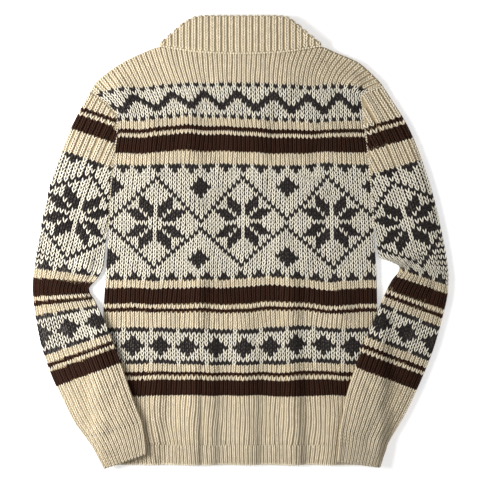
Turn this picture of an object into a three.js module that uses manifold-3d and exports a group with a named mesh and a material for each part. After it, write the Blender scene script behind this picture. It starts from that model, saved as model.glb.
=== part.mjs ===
// A heavy knitted cardigan with a zip, laid face down: front panels on the surface, back panel on top,
// forearms folded over its sides. Millimetres, +Z up, +Y towards the neck, -X is the wearer's left.

import Module from 'manifold-3d';
import * as THREE from 'three';
import { mergeVertices } from 'three/addons/utils/BufferGeometryUtils.js';

// ---- Driving sizes ----
const GAP = 0.3; // clearance between neighbouring pieces
const WALL = 2.8; // knitted wall in the hollow between two ribs
const RIB = 2.0; // height of a rib above that hollow
const FLAT = 3; // wall of the panels that lie pressed flat
const LOFT = 3.2; // air between front and back in the middle of the body
const LOFT_RUN = 70; // how far in from a side seam the loft is full
const YOKE_AIR = 1.4; // extra clearance between front and back near the shoulders
const SEAT = 0.9; // clearance of a sleeve over what it lies on
const BACK_RIBS = 60;
const SLEEVE_RIBS = 14;
const COLLAR_RIBS = 26;

const HEM_END = -371; // lower edge of the hem band
const HEM_SEAM = -336; // where the hem band joins the body
const YOKE = 200; // above this course the ribs fan out to the shoulders
const ZIP_EDGE = 4.2; // front edges, measured from the middle
const COLLAR_HALF = 128; // the collar turns to the front here
const COLLAR_LIFT = FLAT + GAP; // the front leaf lifts the fronts by this much
const SLIDER_LIFT = 3.6; // the slider and its tab lift the fronts by this much
const TAB_END = 182;
const SLIDER_LOW = 203;
const SLIDER_HIGH = 219;

// Side edges of the body from hem to neck, as they lie.
const OUTLINE = [
  { y: -371, left: -220, right: 220 },
  { y: -336, left: -225, right: 224 },
  { y: -250, left: -227, right: 226 },
  { y: -121, left: -227, right: 226.5 },
  { y: -52, left: -223, right: 225 },
  { y: 19, left: -218, right: 220.5 },
  { y: 63, left: -216, right: 218 },
  { y: 133, left: -209.8, right: 212 },
  { y: 200, left: -203.5, right: 204 },
  { y: 225, left: -219, right: 201 },
  { y: 237, left: -233, right: 200 },
  { y: 249, left: -247, right: 216 },
  { y: 262, left: -238, right: 231 },
  { y: 278, left: -219, right: 214 },
  { y: 294, left: -195, right: 195 },
  { y: 311, left: -160, right: 157 },
  { y: 319, left: -134, right: 135 },
];

// Side edges of the yoke, from its lowest course (f = 0) to the shoulder points (f = 1).
const YOKE_EDGES = [
  { f: 0, leftX: -203.5, leftY: 200, rightX: 204, rightY: 200 },
  { f: 0.25, leftX: -207, leftY: 212, rightX: 202, rightY: 217 },
  { f: 0.5, leftX: -219, leftY: 225, rightX: 200, rightY: 238 },
  { f: 0.75, leftX: -233, leftY: 237, rightX: 213, rightY: 247 },
  { f: 1, leftX: -247.5, leftY: 249, rightX: 236, rightY: 255 },
];

// Shoulders and neck seam of the back, by the share s of its ribs counted from the left.
const TOP = [
  { s: 0, x: -247.5, y: 249 },
  { s: 0.023, x: -239, y: 261.5 },
  { s: 0.068, x: -219.5, y: 278 },
  { s: 0.122, x: -194.7, y: 294.5 },
  { s: 0.194, x: -160, y: 311 },
  { s: 0.247, x: -133.7, y: 319.3 },
  { s: 0.511, x: 0, y: 322 },
  { s: 0.779, x: 135.3, y: 319.3 },
  { s: 0.822, x: 156.8, y: 311 },
  { s: 0.9, x: 194.7, y: 294.5 },
  { s: 0.945, x: 214.5, y: 278 },
  { s: 0.984, x: 231, y: 261.5 },
  { s: 1, x: 236, y: 255 },
];
const NECK_LEFT = 0.247; // the rib share where the left shoulder meets the neck

// Which point of the body's edge (e = 0 shoulder, 0.4 yoke course, 1 underarm) meets the sleeve share a.
const ARMHOLE = [
  { a: 0, left: 0, right: 0 },
  { a: 0.2, left: 0.14, right: 0.11 },
  { a: 0.33, left: 0.233, right: 0.17 },
  { a: 0.4, left: 0.307, right: 0.3 },
  { a: 0.48, left: 0.39, right: 0.44 },
  { a: 0.64, left: 0.6, right: 0.64 },
  { a: 0.85, left: 0.84, right: 0.86 },
  { a: 1, left: 1, right: 1 },
];
const EDGE_YOKE = 0.4;
const UNDERARM = 19;
const ARMHOLE_CLEAR = { x: 1.2, y: -0.7 }; // between the body's edge and a sleeve's

// Sleeve sections from the armhole (t = 0) to the cuff (t = 11): outer and inner edge, and air between walls.
const SLEEVES = {
  left: [
    { t: 0, outerX: -247.5, outerY: 249, innerX: -218, innerY: 19, loft: 0.8 },
    { t: 1, outerX: -283.8, outerY: 179, innerX: -222, innerY: -2.5, loft: 2 },
    { t: 2, outerX: -316.8, outerY: 88.3, innerX: -224, innerY: -23.9, loft: 2.2 },
    { t: 3, outerX: -337.4, outerY: -10.7, innerX: -227, innerY: -45.4, loft: 3.2 },
    { t: 4, outerX: -343.2, outerY: -52, innerX: -236.5, innerY: -63.5, loft: 3.2 },
    { t: 5, outerX: -344.8, outerY: -81.7, innerX: -250.8, innerY: -81.7, loft: 3.2 },
    { t: 6, outerX: -341.5, outerY: -118, innerX: -237.6, innerY: -103.1, loft: 3.2 },
    { t: 7, outerX: -330, outerY: -175.7, innerX: -219.4, innerY: -141.1, loft: 3.2 },
    { t: 8, outerX: -315.1, outerY: -220.3, innerX: -204.6, innerY: -179, loft: 3.2 },
    { t: 9, outerX: -297, outerY: -259.9, innerX: -189.8, innerY: -220.3, loft: 3.2 },
    { t: 10, outerX: -277.2, outerY: -299.5, innerX: -174.9, innerY: -263.2, loft: 3.2 },
    { t: 11, outerX: -258.2, outerY: -325.9, innerX: -161.7, innerY: -296.2, loft: 2.6 },
  ],
  right: [
    { t: 0, outerX: 236, outerY: 255, innerX: 220.5, innerY: 19, loft: 0.8 },
    { t: 1, outerX: 280.5, outerY: 182.3, innerX: 223.5, innerY: -2.5, loft: 2 },
    { t: 2, outerX: 315.1, outerY: 89.9, innerX: 226.5, innerY: -15.7, loft: 2.2 },
    { t: 3, outerX: 336.6, outerY: 0.8, innerX: 231, innerY: -28.9, loft: 3.2 },
    { t: 4, outerX: 344, outerY: -45.4, innerX: 248, innerY: -35.5, loft: 3.2 },
    { t: 5, outerX: 344.8, outerY: -71.8, innerX: 265.6, innerY: -47, loft: 3.2 },
    { t: 6, outerX: 341.5, outerY: -101.5, innerX: 247.5, innerY: -70.1, loft: 3.2 },
    { t: 7, outerX: 325, outerY: -164.2, innerX: 222.8, innerY: -121.3, loft: 3.2 },
    { t: 8, outerX: 311.8, outerY: -202.1, innerX: 206.2, innerY: -160.9, loft: 3.2 },
    { t: 9, outerX: 293.7, outerY: -245, innerX: 189.8, innerY: -205.4, loft: 3.2 },
    { t: 10, outerX: 272.2, outerY: -289.6, innerX: 174.9, innerY: -250, loft: 3.2 },
    { t: 11, outerX: 245.8, outerY: -334.1, innerX: 163.3, innerY: -306.1, loft: 2.6 },
  ],
};
const SLEEVE_STEPS = [0, 0.5, 1, 1.5, 2, 2.6, 3.3, 4, 5, 6, 7, 8, 9, 10, 11];
const CAP_RUN = 3; // sections over which the armhole's curve fades out of the sleeve
const EDGE_ROLL = 1.8; // how far in from a sleeve's edge its top is reached
const SLEEVE_RUN = 24; // how far in its loft is full

// Cuff sections from its seam to its end.
const CUFFS = {
  left: [
    { t: 0, outerX: -257.6, outerY: -326.9, innerX: -161.1, innerY: -297.2, loft: 2.2 },
    { t: 1, outerX: -243.5, outerY: -346, innerX: -157, innerY: -322, loft: 2.6 },
    { t: 2, outerX: -226, outerY: -377, innerX: -154.6, innerY: -350.6, loft: 1.6 },
  ],
  right: [
    { t: 0, outerX: 245.2, outerY: -335.1, innerX: 162.8, innerY: -307.1, loft: 2.2 },
    { t: 1, outerX: 240, outerY: -350, innerX: 160.5, innerY: -336, loft: 2.6 },
    { t: 2, outerX: 231.5, outerY: -374.5, innerX: 157.8, innerY: -363.8, loft: 1.6 },
  ],
};

// How a forearm climbs from the surface onto the body's side.
const CLIMB = { start: -58, run: 45, reach: 28 };

// Soft ridges (height over 0) and hollows (under 0) of the cloth, each along a line from one end to the other.
const BODY_FOLDS = [
  { x: -161, y: 246, toX: -152, toY: 226, width: 30, height: -2.2 },
  { x: -203, y: 255, toX: -190, toY: 225, width: 26, height: 2.6 },
  { x: 172, y: 250, toX: 164, toY: 230, width: 26, height: -2.2 },
  { x: 190, y: 262, toX: 182, toY: 232, width: 24, height: 2.4 },
  { x: -89, y: 214, toX: -93, toY: 134, width: 20, height: 1.8 },
  { x: -100, y: 30, toX: -60, toY: -70, width: 30, height: 1.4 },
  { x: 70, y: 120, toX: 120, toY: -10, width: 34, height: 1.4 },
  { x: 150, y: -60, toX: 190, toY: 10, width: 26, height: -1.6 },
  { x: -114, y: -250, toX: -126, toY: -371, width: 20, height: -2.4 },
  { x: -92, y: -262, toX: -98, toY: -371, width: 20, height: 2.2 },
  { x: 156, y: -290, toX: 150, toY: -371, width: 22, height: 4 },
  { x: 112, y: -232, toX: 114, toY: -371, width: 20, height: -2.4 },
];
const SLEEVE_FOLDS = [
  { x: -222, y: -6, toX: -239, toY: -62, width: 24, height: -6 },
  { x: -246, y: -84, toX: -292, toY: -52, width: 15, height: -3.4 },
  { x: -252, y: -98, toX: -300, toY: -104, width: 16, height: 2.4 },
  { x: -244, y: -52, toX: -284, toY: -16, width: 16, height: 2.4 },
  { x: -290, y: 60, toX: -306, toY: -20, width: 22, height: 1.6 },
  { x: -250, y: -190, toX: -268, toY: -150, width: 22, height: 1.8 },
  { x: -214, y: -262, toX: -240, toY: -290, width: 20, height: -1.8 },
  { x: 224, y: -4, toX: 252, toY: -34, width: 22, height: -6 },
  { x: 260, y: -50, toX: 300, toY: -28, width: 15, height: -3.4 },
  { x: 262, y: -68, toX: 306, toY: -76, width: 16, height: 2.4 },
  { x: 256, y: -22, toX: 290, toY: 8, width: 16, height: 2.4 },
  { x: 284, y: 96, toX: 304, toY: 20, width: 22, height: 1.6 },
  { x: 250, y: -160, toX: 268, toY: -208, width: 22, height: 1.8 },
  { x: 206, y: -240, toX: 236, toY: -262, width: 20, height: -1.8 },
];

// The folded collar: its top fold, and the free edge of the leaf that lies on the yoke.
const COLLAR_TOP = [
  { x: -134, y: 325 },
  { x: -124, y: 335 },
  { x: -112, y: 345 },
  { x: -94, y: 361 },
  { x: -76, y: 370.5 },
  { x: -58, y: 372.6 },
  { x: 0, y: 372.8 },
  { x: 58, y: 372.6 },
  { x: 76, y: 370.5 },
  { x: 91, y: 361 },
  { x: 110, y: 345 },
  { x: 124, y: 334 },
  { x: 134, y: 325 },
];
const COLLAR_EDGE = [
  { x: -128, y: 320.5 },
  { x: -105, y: 316.3 },
  { x: -76, y: 312 },
  { x: -45, y: 309.7 },
  { x: 0, y: 308.4 },
  { x: 45, y: 309.7 },
  { x: 76, y: 312 },
  { x: 105, y: 316.3 },
  { x: 128, y: 320.5 },
];
const WELT_RADIUS = 1.7; // the chained edge of the leaf

// The collar's front halves by distance from the middle: fold, neck seam and free edge.
const COLLAR_FRONT = [
  { x: 8, fold: 291, edge: 223 },
  { x: 40, fold: 294, edge: 234 },
  { x: 80, fold: 305, edge: 264 },
  { x: 110, fold: 318, edge: 297 },
  { x: 128, fold: 327, edge: 318.5 },
];
const FRONT_NECK = 250; // neck seam at the front edges
const SHOULDER_NECK = { x: 133.7, y: 319.3 };

// ---- Small maths ----
const clamp = (value, low, high) => Math.min(Math.max(value, low), high);
const mix = (a, b, t) => a + (b - a) * t;
const ease = (t) => clamp(t, 0, 1) ** 2 * (3 - 2 * clamp(t, 0, 1));
const swell = (q) => (q < 1 ? (1 - q * q) ** 2 : 0);
const steps = (count) => Array.from({ length: count + 1 }, (_, k) => k / count);

// A smooth curve through one column of a table, read at a value of its key column.
function through(rows, key, column, value) {
  const last = rows.length - 1;
  let i = 0;
  while (i < last - 1 && value > rows[i + 1][key]) i += 1;
  const slope = (k) => {
    const before = rows[Math.max(k - 1, 0)];
    const after = rows[Math.min(k + 1, last)];
    return (after[column] - before[column]) / (after[key] - before[key]);
  };
  const span = rows[i + 1][key] - rows[i][key];
  const t = clamp((value - rows[i][key]) / span, 0, 1);
  const turn = t * t * (3 - 2 * t);
  return (
    mix(rows[i][column], rows[i + 1][column], turn)
    + slope(i) * span * t * (1 - t) ** 2
    - slope(i + 1) * span * t * t * (1 - t)
  );
}

// Height that a table of folds gives at a point.
function foldHeight(folds, x, y) {
  return folds.reduce((sum, fold) => {
    const [dx, dy] = [fold.toX - fold.x, fold.toY - fold.y];
    const along = clamp(((x - fold.x) * dx + (y - fold.y) * dy) / (dx * dx + dy * dy), 0, 1);
    const away = Math.hypot(x - fold.x - along * dx, y - fold.y - along * dy);
    return sum + fold.height * swell(away / fold.width);
  }, 0);
}

// ---- Heights of the layers ----
const neckSeam = (x) => {
  const share = (Math.abs(x) - ZIP_EDGE) / (SHOULDER_NECK.x - ZIP_EDGE);
  return mix(FRONT_NECK, SHOULDER_NECK.y, share * share);
};

function collarLift(x, y) {
  const beyond = Math.max(Math.abs(x) - COLLAR_HALF, 0);
  const edge = through(COLLAR_FRONT, 'x', 'edge', Math.abs(x)) + 1.5 * beyond;
  const clear = 3;
  const run = 40;
  return COLLAR_LIFT * ease((y - edge + clear + run) / run);
}

function sliderLift(x, y) {
  const run = 42;
  const beside = Math.max(Math.abs(x) - 13, 0);
  const beyond = Math.max(TAB_END - 14 - y, y - SLIDER_HIGH - 4, 0);
  return SLIDER_LIFT * (1 - ease(Math.hypot(beside, beyond) / run));
}

// Outer face of the fronts, which lies on the surface except over the slider and the collar's front.
const lift = (x, y) => Math.max(collarLift(x, y), sliderLift(x, y));

// How far the back is free of its seams at a point: 0 at a seam, 1 in the open.
function openness(x, y) {
  const left = ease((x - through(OUTLINE, 'y', 'left', y)) / LOFT_RUN);
  const right = ease((through(OUTLINE, 'y', 'right', y) - x) / LOFT_RUN);
  const top = ease((330 - y) / 50);
  const hem = ease((y - HEM_END + 35) / 70);
  return left * right * top * hem;
}

function backInside(x, y) {
  const open = openness(x, y);
  const folds = foldHeight(BODY_FOLDS, x, y) * clamp(open * 2, 0, 1);
  const air = YOKE_AIR * ease((y - 225) / 30);
  return lift(x, y) + FLAT + GAP + air + Math.max(0, LOFT * open + folds);
}

const backTop = (x, y) => backInside(x, y) + WALL + RIB;

// Height of what a sleeve's underside lies on.
function ground(x, y) {
  const left = through(OUTLINE, 'y', 'left', y) - x;
  const right = x - through(OUTLINE, 'y', 'right', y);
  const away = Math.hypot(Math.max(left, right, 0), Math.max(HEM_END - y, 0));
  const climb = ease((CLIMB.start - y) / CLIMB.run);
  return climb * (1 - ease(away / CLIMB.reach)) * (backTop(x, y) + SEAT);
}

// ---- Closed bodies from rows of points ----
class Skin {
  constructor() {
    this.corners = [];
  }

  tri(a, b, c) {
    this.corners.push(a, b, c);
  }

  quad(a, b, c, d) {
    this.tri(a, b, c);
    this.tri(a, c, d);
  }

  // Faces between two lines of points that run the same way, matched by their share u.
  bridge(upper, lower, turned) {
    let [i, j] = [0, 0];
    while (i < upper.length - 1 || j < lower.length - 1) {
      const stepUpper = j === lower.length - 1
        || (i < upper.length - 1 && upper[i + 1].u <= lower[j + 1].u);
      const next = stepUpper ? upper[i + 1] : lower[j + 1];
      if (turned) this.tri(upper[i], next, lower[j]);
      else this.tri(upper[i], lower[j], next);
      if (stepUpper) i += 1;
      else j += 1;
    }
  }

  // The surface over a grid of rows, each a line of points.
  grid(rows, turned) {
    for (let j = 0; j < rows.length - 1; j += 1) {
      for (let i = 0; i < rows[j].length - 1; i += 1) {
        const corners = [rows[j][i], rows[j][i + 1], rows[j + 1][i + 1], rows[j + 1][i]];
        if (turned) corners.reverse();
        this.quad(...corners);
      }
    }
  }

  geometry() {
    const volume = new THREE.Vector3();
    let sum = 0;
    for (let k = 0; k < this.corners.length; k += 3) {
      const [a, b, c] = this.corners.slice(k, k + 3);
      sum += a.dot(volume.crossVectors(b, c));
    }
    const order = sum < 0 ? [0, 2, 1] : [0, 1, 2];
    const values = [];
    for (let k = 0; k < this.corners.length; k += 3) {
      order.forEach((o) => values.push(...this.corners[k + o].toArray()));
    }
    const shape = new THREE.BufferGeometry();
    shape.setAttribute('position', new THREE.Float32BufferAttribute(values, 3));
    return mergeVertices(shape, 1e-3);
  }
}

function point(x, y, z, u) {
  const made = new THREE.Vector3(x, y, z);
  made.u = u;
  return made;
}

// A wall between an upper and a lower grid that share their edges' plan.
function sheetWall(upper, lower) {
  const skin = new Skin();
  skin.grid(upper, false);
  skin.grid(lower, true);
  skin.bridge(upper[0], lower[0], false);
  skin.bridge(upper.at(-1), lower.at(-1), true);
  for (let j = 0; j < upper.length - 1; j += 1) {
    skin.quad(upper[j][0], upper[j + 1][0], lower[j + 1][0], lower[j][0]);
    skin.quad(lower[j].at(-1), lower[j + 1].at(-1), upper[j + 1].at(-1), upper[j].at(-1));
  }
  return skin.geometry();
}

// A tube wall from outer and inner rings, open at both ends.
function tubeWall(outer, inner) {
  const close = (ring) => [...ring, Object.assign(ring[0].clone(), { u: 1 })];
  const [outside, inside] = [outer.map(close), inner.map(close)];
  const skin = new Skin();
  skin.grid(outside, false);
  skin.grid(inside, true);
  skin.bridge(outside[0], inside[0], false);
  skin.bridge(outside.at(-1), inside.at(-1), true);
  return skin.geometry();
}

// ---- Back and front panels ----
function edgeOfYoke(f, side) {
  return { x: through(YOKE_EDGES, 'f', `${side}X`, f), y: through(YOKE_EDGES, 'f', `${side}Y`, f) };
}

// Plan of a panel's yoke between its lowest course and its upper edge.
function yokePlan(s, f, low, high, left, right) {
  const pull = (edge, weight) => {
    const [from, to, at] = [edge(0), edge(1), edge(f)];
    return { x: weight * (at.x - mix(from.x, to.x, f)), y: weight * (at.y - mix(from.y, to.y, f)) };
  };
  const byLeft = pull(left, (1 - s) ** 3);
  const byRight = pull(right, s ** 3);
  return {
    x: mix(low(s).x, high(s).x, f) + byLeft.x + byRight.x,
    y: mix(low(s).y, high(s).y, f) + byLeft.y + byRight.y,
  };
}

// Plan of the back at rib share s; v runs 0 to 1 from hem seam to yoke and 1 to 2 up the yoke.
function backPlan(s, v) {
  const across = (y) => ({
    x: mix(through(OUTLINE, 'y', 'left', y), through(OUTLINE, 'y', 'right', y), s),
    y,
  });
  if (v <= 1) return across(mix(HEM_SEAM, YOKE, v));
  return yokePlan(
    s,
    v - 1,
    () => across(YOKE),
    () => ({ x: through(TOP, 's', 'x', s), y: through(TOP, 's', 'y', s) }),
    (f) => edgeOfYoke(f, 'left'),
    (f) => edgeOfYoke(f, 'right'),
  );
}

const EDGE_WALL = 1.4; // the back's wall where it rolls down to a seam

// Wall of a ribbed panel at column k: thin at both sides, a rib on every odd column.
const ribbedWall = (k, count, rib) => {
  if (k === 0 || k === count) return EDGE_WALL;
  return WALL + (k % 2) * rib;
};

function ribbedSheet(plan, rows, ribs, rib) {
  const columns = 2 * ribs;
  const inside = (s, v) => {
    const { x, y } = plan(s, v);
    return point(x, y, backInside(x, y), s);
  };
  const upper = rows.map((v) => steps(columns).map((s, k) => {
    const foot = inside(s, v);
    foot.z += ribbedWall(k, columns, rib);
    return foot;
  }));
  const lower = rows.map((v) => steps(Math.ceil(ribs / 4)).map((s) => inside(s, v)));
  return sheetWall(upper, lower);
}

const BACK_ROWS = [...steps(14), 1.2, 1.4, 1.6, 1.8, 2];

const hemPlan = (s, v) => {
  const y = mix(HEM_END, HEM_SEAM - GAP, v);
  return { x: mix(through(OUTLINE, 'y', 'left', y), through(OUTLINE, 'y', 'right', y), s), y };
};

// Rows and columns of a front, closer together where it rises over the slider.
const FRONT_ROWS = [HEM_SEAM, -250, -170, -90, -20, 40, 90, 126, 147, 168, 184, YOKE];
const FRONT_YOKE = [0.2, 0.4, 0.6, 0.8, 1];
const FRONT_COLUMNS = [0, 0.17, 0.34, 0.5, 0.58, 0.66, 0.74, 0.81, 0.87, 0.94, 1];
const NECK_COLUMN = 0.5; // the column that ends where shoulder and neck meet

function frontPlan(side, s, y, f) {
  const sign = side === 'left' ? -1 : 1;
  const middle = (at) => ({ x: sign * ZIP_EDGE, y: at });
  const across = (at) => ({ x: mix(through(OUTLINE, 'y', side, at), sign * ZIP_EDGE, s), y: at });
  if (f === 0) return across(y);
  const top = () => {
    if (s < NECK_COLUMN) {
      const share = (s / NECK_COLUMN) * NECK_LEFT;
      const rib = side === 'left' ? share : 1 - share * ((1 - 0.779) / NECK_LEFT);
      return { x: through(TOP, 's', 'x', rib), y: through(TOP, 's', 'y', rib) };
    }
    const x = mix(SHOULDER_NECK.x, ZIP_EDGE, (s - NECK_COLUMN) / (1 - NECK_COLUMN));
    return { x: sign * x, y: neckSeam(x) };
  };
  const centre = (at) => middle(mix(YOKE, FRONT_NECK, at));
  return yokePlan(s, f, () => across(YOKE), top, (at) => edgeOfYoke(at, side), centre);
}

function flatSheet(plans) {
  const layer = (wall) => plans.map((row) => row.map(({ x, y, s }) => point(x, y, lift(x, y) + wall, s)));
  return sheetWall(layer(FLAT), layer(0));
}

function frontPanel(side) {
  const row = (y, f) => FRONT_COLUMNS.map((s) => ({ ...frontPlan(side, s, y, f), s }));
  return flatSheet([...FRONT_ROWS.map((y) => row(y, 0)), ...FRONT_YOKE.map((f) => row(YOKE, f))]);
}

function frontHem(side) {
  const row = (y) => FRONT_COLUMNS.map((s) => ({ ...frontPlan(side, s, y, 0), s }));
  return flatSheet([row(HEM_END), row(HEM_SEAM - GAP)]);
}

// ---- Sleeves and cuffs ----
// The body's edge that a sleeve is sewn to.
function bodyEdge(side, e) {
  if (e < EDGE_YOKE) return edgeOfYoke(1 - e / EDGE_YOKE, side);
  const y = mix(YOKE, UNDERARM, (e - EDGE_YOKE) / (1 - EDGE_YOKE));
  return { x: through(OUTLINE, 'y', side, y), y };
}

// Plan of a sleeve at the share a across, from its outer to its inner edge, at section t.
function sleevePlan(side, table, t, a, cap) {
  const read = (column) => through(table, 't', column, t);
  const x = mix(read('outerX'), read('innerX'), a);
  const y = mix(read('outerY'), read('innerY'), a);
  if (cap === 0) return { x, y };
  const clear = (side === 'left' ? -1 : 1) * ARMHOLE_CLEAR.x;
  const [from, at, to] = [0, a, 1].map((share) => (
    bodyEdge(side, through(ARMHOLE, 'a', side, share))
  ));
  return {
    x: x + cap * (at.x - mix(from.x, to.x, a) + clear),
    y: y + cap * (at.y - mix(from.y, to.y, a) + ARMHOLE_CLEAR.y),
  };
}

// The outer and inner ring of a flattened tube at one section.
function ringPair(plan, loft, wall, rib) {
  const [from, to] = [plan(0), plan(1)];
  const width = Math.hypot(to.x - from.x, to.y - from.y);
  const roll = EDGE_ROLL / width;
  const tuck = (wall + 0.8) / width;
  const air = (x, y, a) => {
    const free = ease((Math.min(a, 1 - a) * width) / SLEEVE_RUN);
    return 0.5 + Math.max(0, loft * free + foldHeight(SLEEVE_FOLDS, x, y) * Math.min(1, 2 * free));
  };
  const at = (a, height, u) => {
    const { x, y } = plan(a);
    return point(x, y, ground(x, y) + height(x, y, a), u);
  };
  const over = (extra) => (x, y, a) => FLAT + air(x, y, a) + extra;
  const ringOf = (upper, lower, inset, edge, topOf, base) => [
    at(edge, () => FLAT + 0.25, 0),
    ...upper.map((q, k) => at(mix(inset, 1 - inset, q), topOf(k), 0.01 + 0.48 * q)),
    at(1 - edge, () => FLAT + 0.25, 0.5),
    ...lower.map((q) => at(mix(1 - inset, inset, q), () => base, 0.51 + 0.48 * q)),
  ];
  const ribbed = (k) => over(wall + (k % 2) * rib);
  return {
    outer: ringOf(steps(2 * SLEEVE_RIBS), steps(10), roll, 0, ribbed, 0),
    inner: ringOf(steps(8), steps(8), tuck + roll, tuck, () => over(0), FLAT),
  };
}

function sleeve(side) {
  const table = SLEEVES[side];
  const pairs = SLEEVE_STEPS.map((t) => {
    const cap = ease(1 - t / CAP_RUN);
    const plan = (a) => sleevePlan(side, table, t, a, cap);
    return ringPair(plan, through(table, 't', 'loft', t), WALL, RIB);
  });
  return tubeWall(pairs.map((p) => p.outer), pairs.map((p) => p.inner));
}

function cuff(side) {
  const table = CUFFS[side];
  const pairs = [0, 0.5, 1, 1.5, 2].map((t) => {
    const plan = (a) => sleevePlan(side, table, t, a, 0);
    return ringPair(plan, through(table, 't', 'loft', t), WALL - 0.2, RIB - 0.4);
  });
  return tubeWall(pairs.map((p) => p.outer), pairs.map((p) => p.inner));
}

// ---- Collar ----
const LEAF_CLEAR = 0.6; // the leaf over the back's ribs
const STAND = 2.4; // wall of the collar's hidden stand
const NECK_CLEAR = 0.9; // the stand above the curved neck seam

// One line across the folded collar at x, as middle points, outward directions and half walls.
function backCollarLine(x, rib) {
  const standMid = (y) => backInside(x, y) + STAND / 2;
  const leafMid = (y) => backTop(x, y) + LEAF_CLEAR + WALL / 2;
  const foldY = through(COLLAR_TOP, 'x', 'y', x);
  const [low, high] = [standMid(foldY), leafMid(foldY)];
  const radius = (high - low) / 2;
  const turnY = foldY - radius - WALL / 2 - RIB;
  const leafEnd = through(COLLAR_EDGE, 'x', 'y', x) + WELT_RADIUS;
  const standEnd = through(TOP, 'x', 'y', x) + NECK_CLEAR;
  const leaf = [0, 0.35, 0.7, 1].map((q) => {
    const y = mix(leafEnd, turnY, q);
    return { y, z: leafMid(y), outY: 0, outZ: 1, raise: rib };
  });
  const fold = [0.25, 0.5, 0.75].map((q) => {
    const angle = Math.PI * (0.5 - q);
    const [outY, outZ] = [Math.cos(angle), Math.sin(angle)];
    const middle = (low + high) / 2;
    return { y: turnY + radius * outY, z: middle + radius * outZ, outY, outZ, raise: rib * (1 - q * q) };
  });
  const stand = [0, 1].map((q) => {
    const y = mix(turnY, standEnd, q);
    return { y, z: standMid(y), outY: 0, outZ: -1, raise: 0 };
  });
  return [...leaf, ...fold, ...stand];
}

function frontCollarLine(x) {
  const read = (column) => through(COLLAR_FRONT, 'x', column, Math.abs(x));
  const [low, high] = [FLAT / 2, COLLAR_LIFT + FLAT / 2];
  const radius = (high - low) / 2;
  const turnY = read('fold') - radius - FLAT / 2;
  const flat = (from, to, z, outZ) => [0, 0.5, 1].map((q) => (
    { y: mix(from, to, q), z, outY: 0, outZ, raise: 0 }
  ));
  const fold = [0.33, 0.67].map((q) => {
    const angle = Math.PI * (q - 0.5);
    const [outY, outZ] = [Math.cos(angle), Math.sin(angle)];
    return { y: turnY + radius * outY, z: (low + high) / 2 + radius * outZ, outY, outZ, raise: 0 };
  });
  return [
    ...flat(read('edge'), turnY, low, -1),
    ...fold,
    ...flat(turnY, neckSeam(x) + NECK_CLEAR, high, 1),
  ];
}

// A folded strip from its lines across: one face outward, the other inward.
function foldedSheet(outerLines, innerLines, halfWall) {
  const side = (lines, sign) => lines[0].path.map((_, row) => lines.map(({ x, u, path }) => {
    const { y, z, outY, outZ, raise } = path[row];
    const out = sign > 0 ? halfWall + raise : -halfWall;
    return point(x, y + out * outY, z + out * outZ, u);
  }));
  return sheetWall(side(outerLines, 1), side(innerLines, -1));
}

function backCollar() {
  const lines = (count, ribs) => steps(count).map((u, k) => {
    const x = mix(-COLLAR_HALF, COLLAR_HALF, u);
    return { x, u, path: backCollarLine(x, ribs && k % 2 ? RIB : 0) };
  });
  return foldedSheet(lines(2 * COLLAR_RIBS, true), lines(COLLAR_RIBS / 2, false), WALL / 2);
}

function frontCollar(side) {
  const sign = side === 'left' ? -1 : 1;
  const lines = steps(8).map((u) => {
    const x = sign * mix(COLLAR_HALF, COLLAR_FRONT[0].x, u);
    return { x, u, path: frontCollarLine(x) };
  });
  return foldedSheet(lines, lines, FLAT / 2);
}

// The chained edge of the leaf, a six-sided cord along its free edge.
function collarWelt() {
  const rings = steps(COLLAR_RIBS).map((q) => {
    const x = mix(-COLLAR_HALF, COLLAR_HALF, q);
    const y = through(COLLAR_EDGE, 'x', 'y', x) - GAP;
    const z = backTop(x, y) + GAP + WELT_RADIUS;
    return steps(6).slice(0, 6).map((turn) => point(
      x,
      y + WELT_RADIUS * Math.cos(2 * Math.PI * turn),
      z + WELT_RADIUS * Math.sin(2 * Math.PI * turn),
      turn,
    ));
  });
  const skin = new Skin();
  skin.grid(rings.map((ring) => [...ring, ring[0]]), false);
  for (let k = 1; k < 5; k += 1) {
    skin.tri(rings[0][0], rings[0][k + 1], rings[0][k]);
    skin.tri(rings.at(-1)[0], rings.at(-1)[k], rings.at(-1)[k + 1]);
  }
  return skin.geometry();
}

// ---- Zip ----
const CHAIN_SUNK = 0.4; // the chain's middle below the fronts' inner face
const TEETH = { from: 0.3, to: 3.3, below: CHAIN_SUNK + 1.4, above: 1.4 - CHAIN_SUNK };
const TAPE = { from: 3.6, to: 15, below: -0.5, above: 1.1 };
const CHAIN_LOW = -358;
const CHAIN_HIGH = 206;
const ZIP_ROWS = [...FRONT_ROWS.slice(1)];

// A strip beside the zip's middle that follows the fronts' inner face.
function zipStrip(side, { from, to, below, above }, low, high) {
  const sign = side === 'left' ? -1 : 1;
  const rows = [low, HEM_SEAM, ...ZIP_ROWS.filter((y) => y < high), high];
  const layer = (offset) => rows.map((y) => [0, 1].map((u) => (
    point(sign * mix(from, to, u), y, lift(0, y) + FLAT + offset, u)
  )));
  return sheetWall(layer(above), layer(-below));
}

const box = (x0, x1, y0, y1, z0, z1) => {
  const made = new THREE.BoxGeometry(x1 - x0, y1 - y0, z1 - z0);
  return made.translate((x0 + x1) / 2, (y0 + y1) / 2, (z0 + z1) / 2);
};

const CHAIN_MID = SLIDER_LIFT + FLAT - CHAIN_SUNK; // height of the chain at the slider
const PIN = { y: 212, z: 1.7, radius: 0.6, bore: 0.8, knuckle: 1.3 };
const PLATE = 1.2;
const TAB = { thick: 1.4, neck: 1.9, half: 3.9 };
const EAR = { inner: 2.2, outer: 3.5 };

const wasm = await Module();
wasm.setup();

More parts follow.
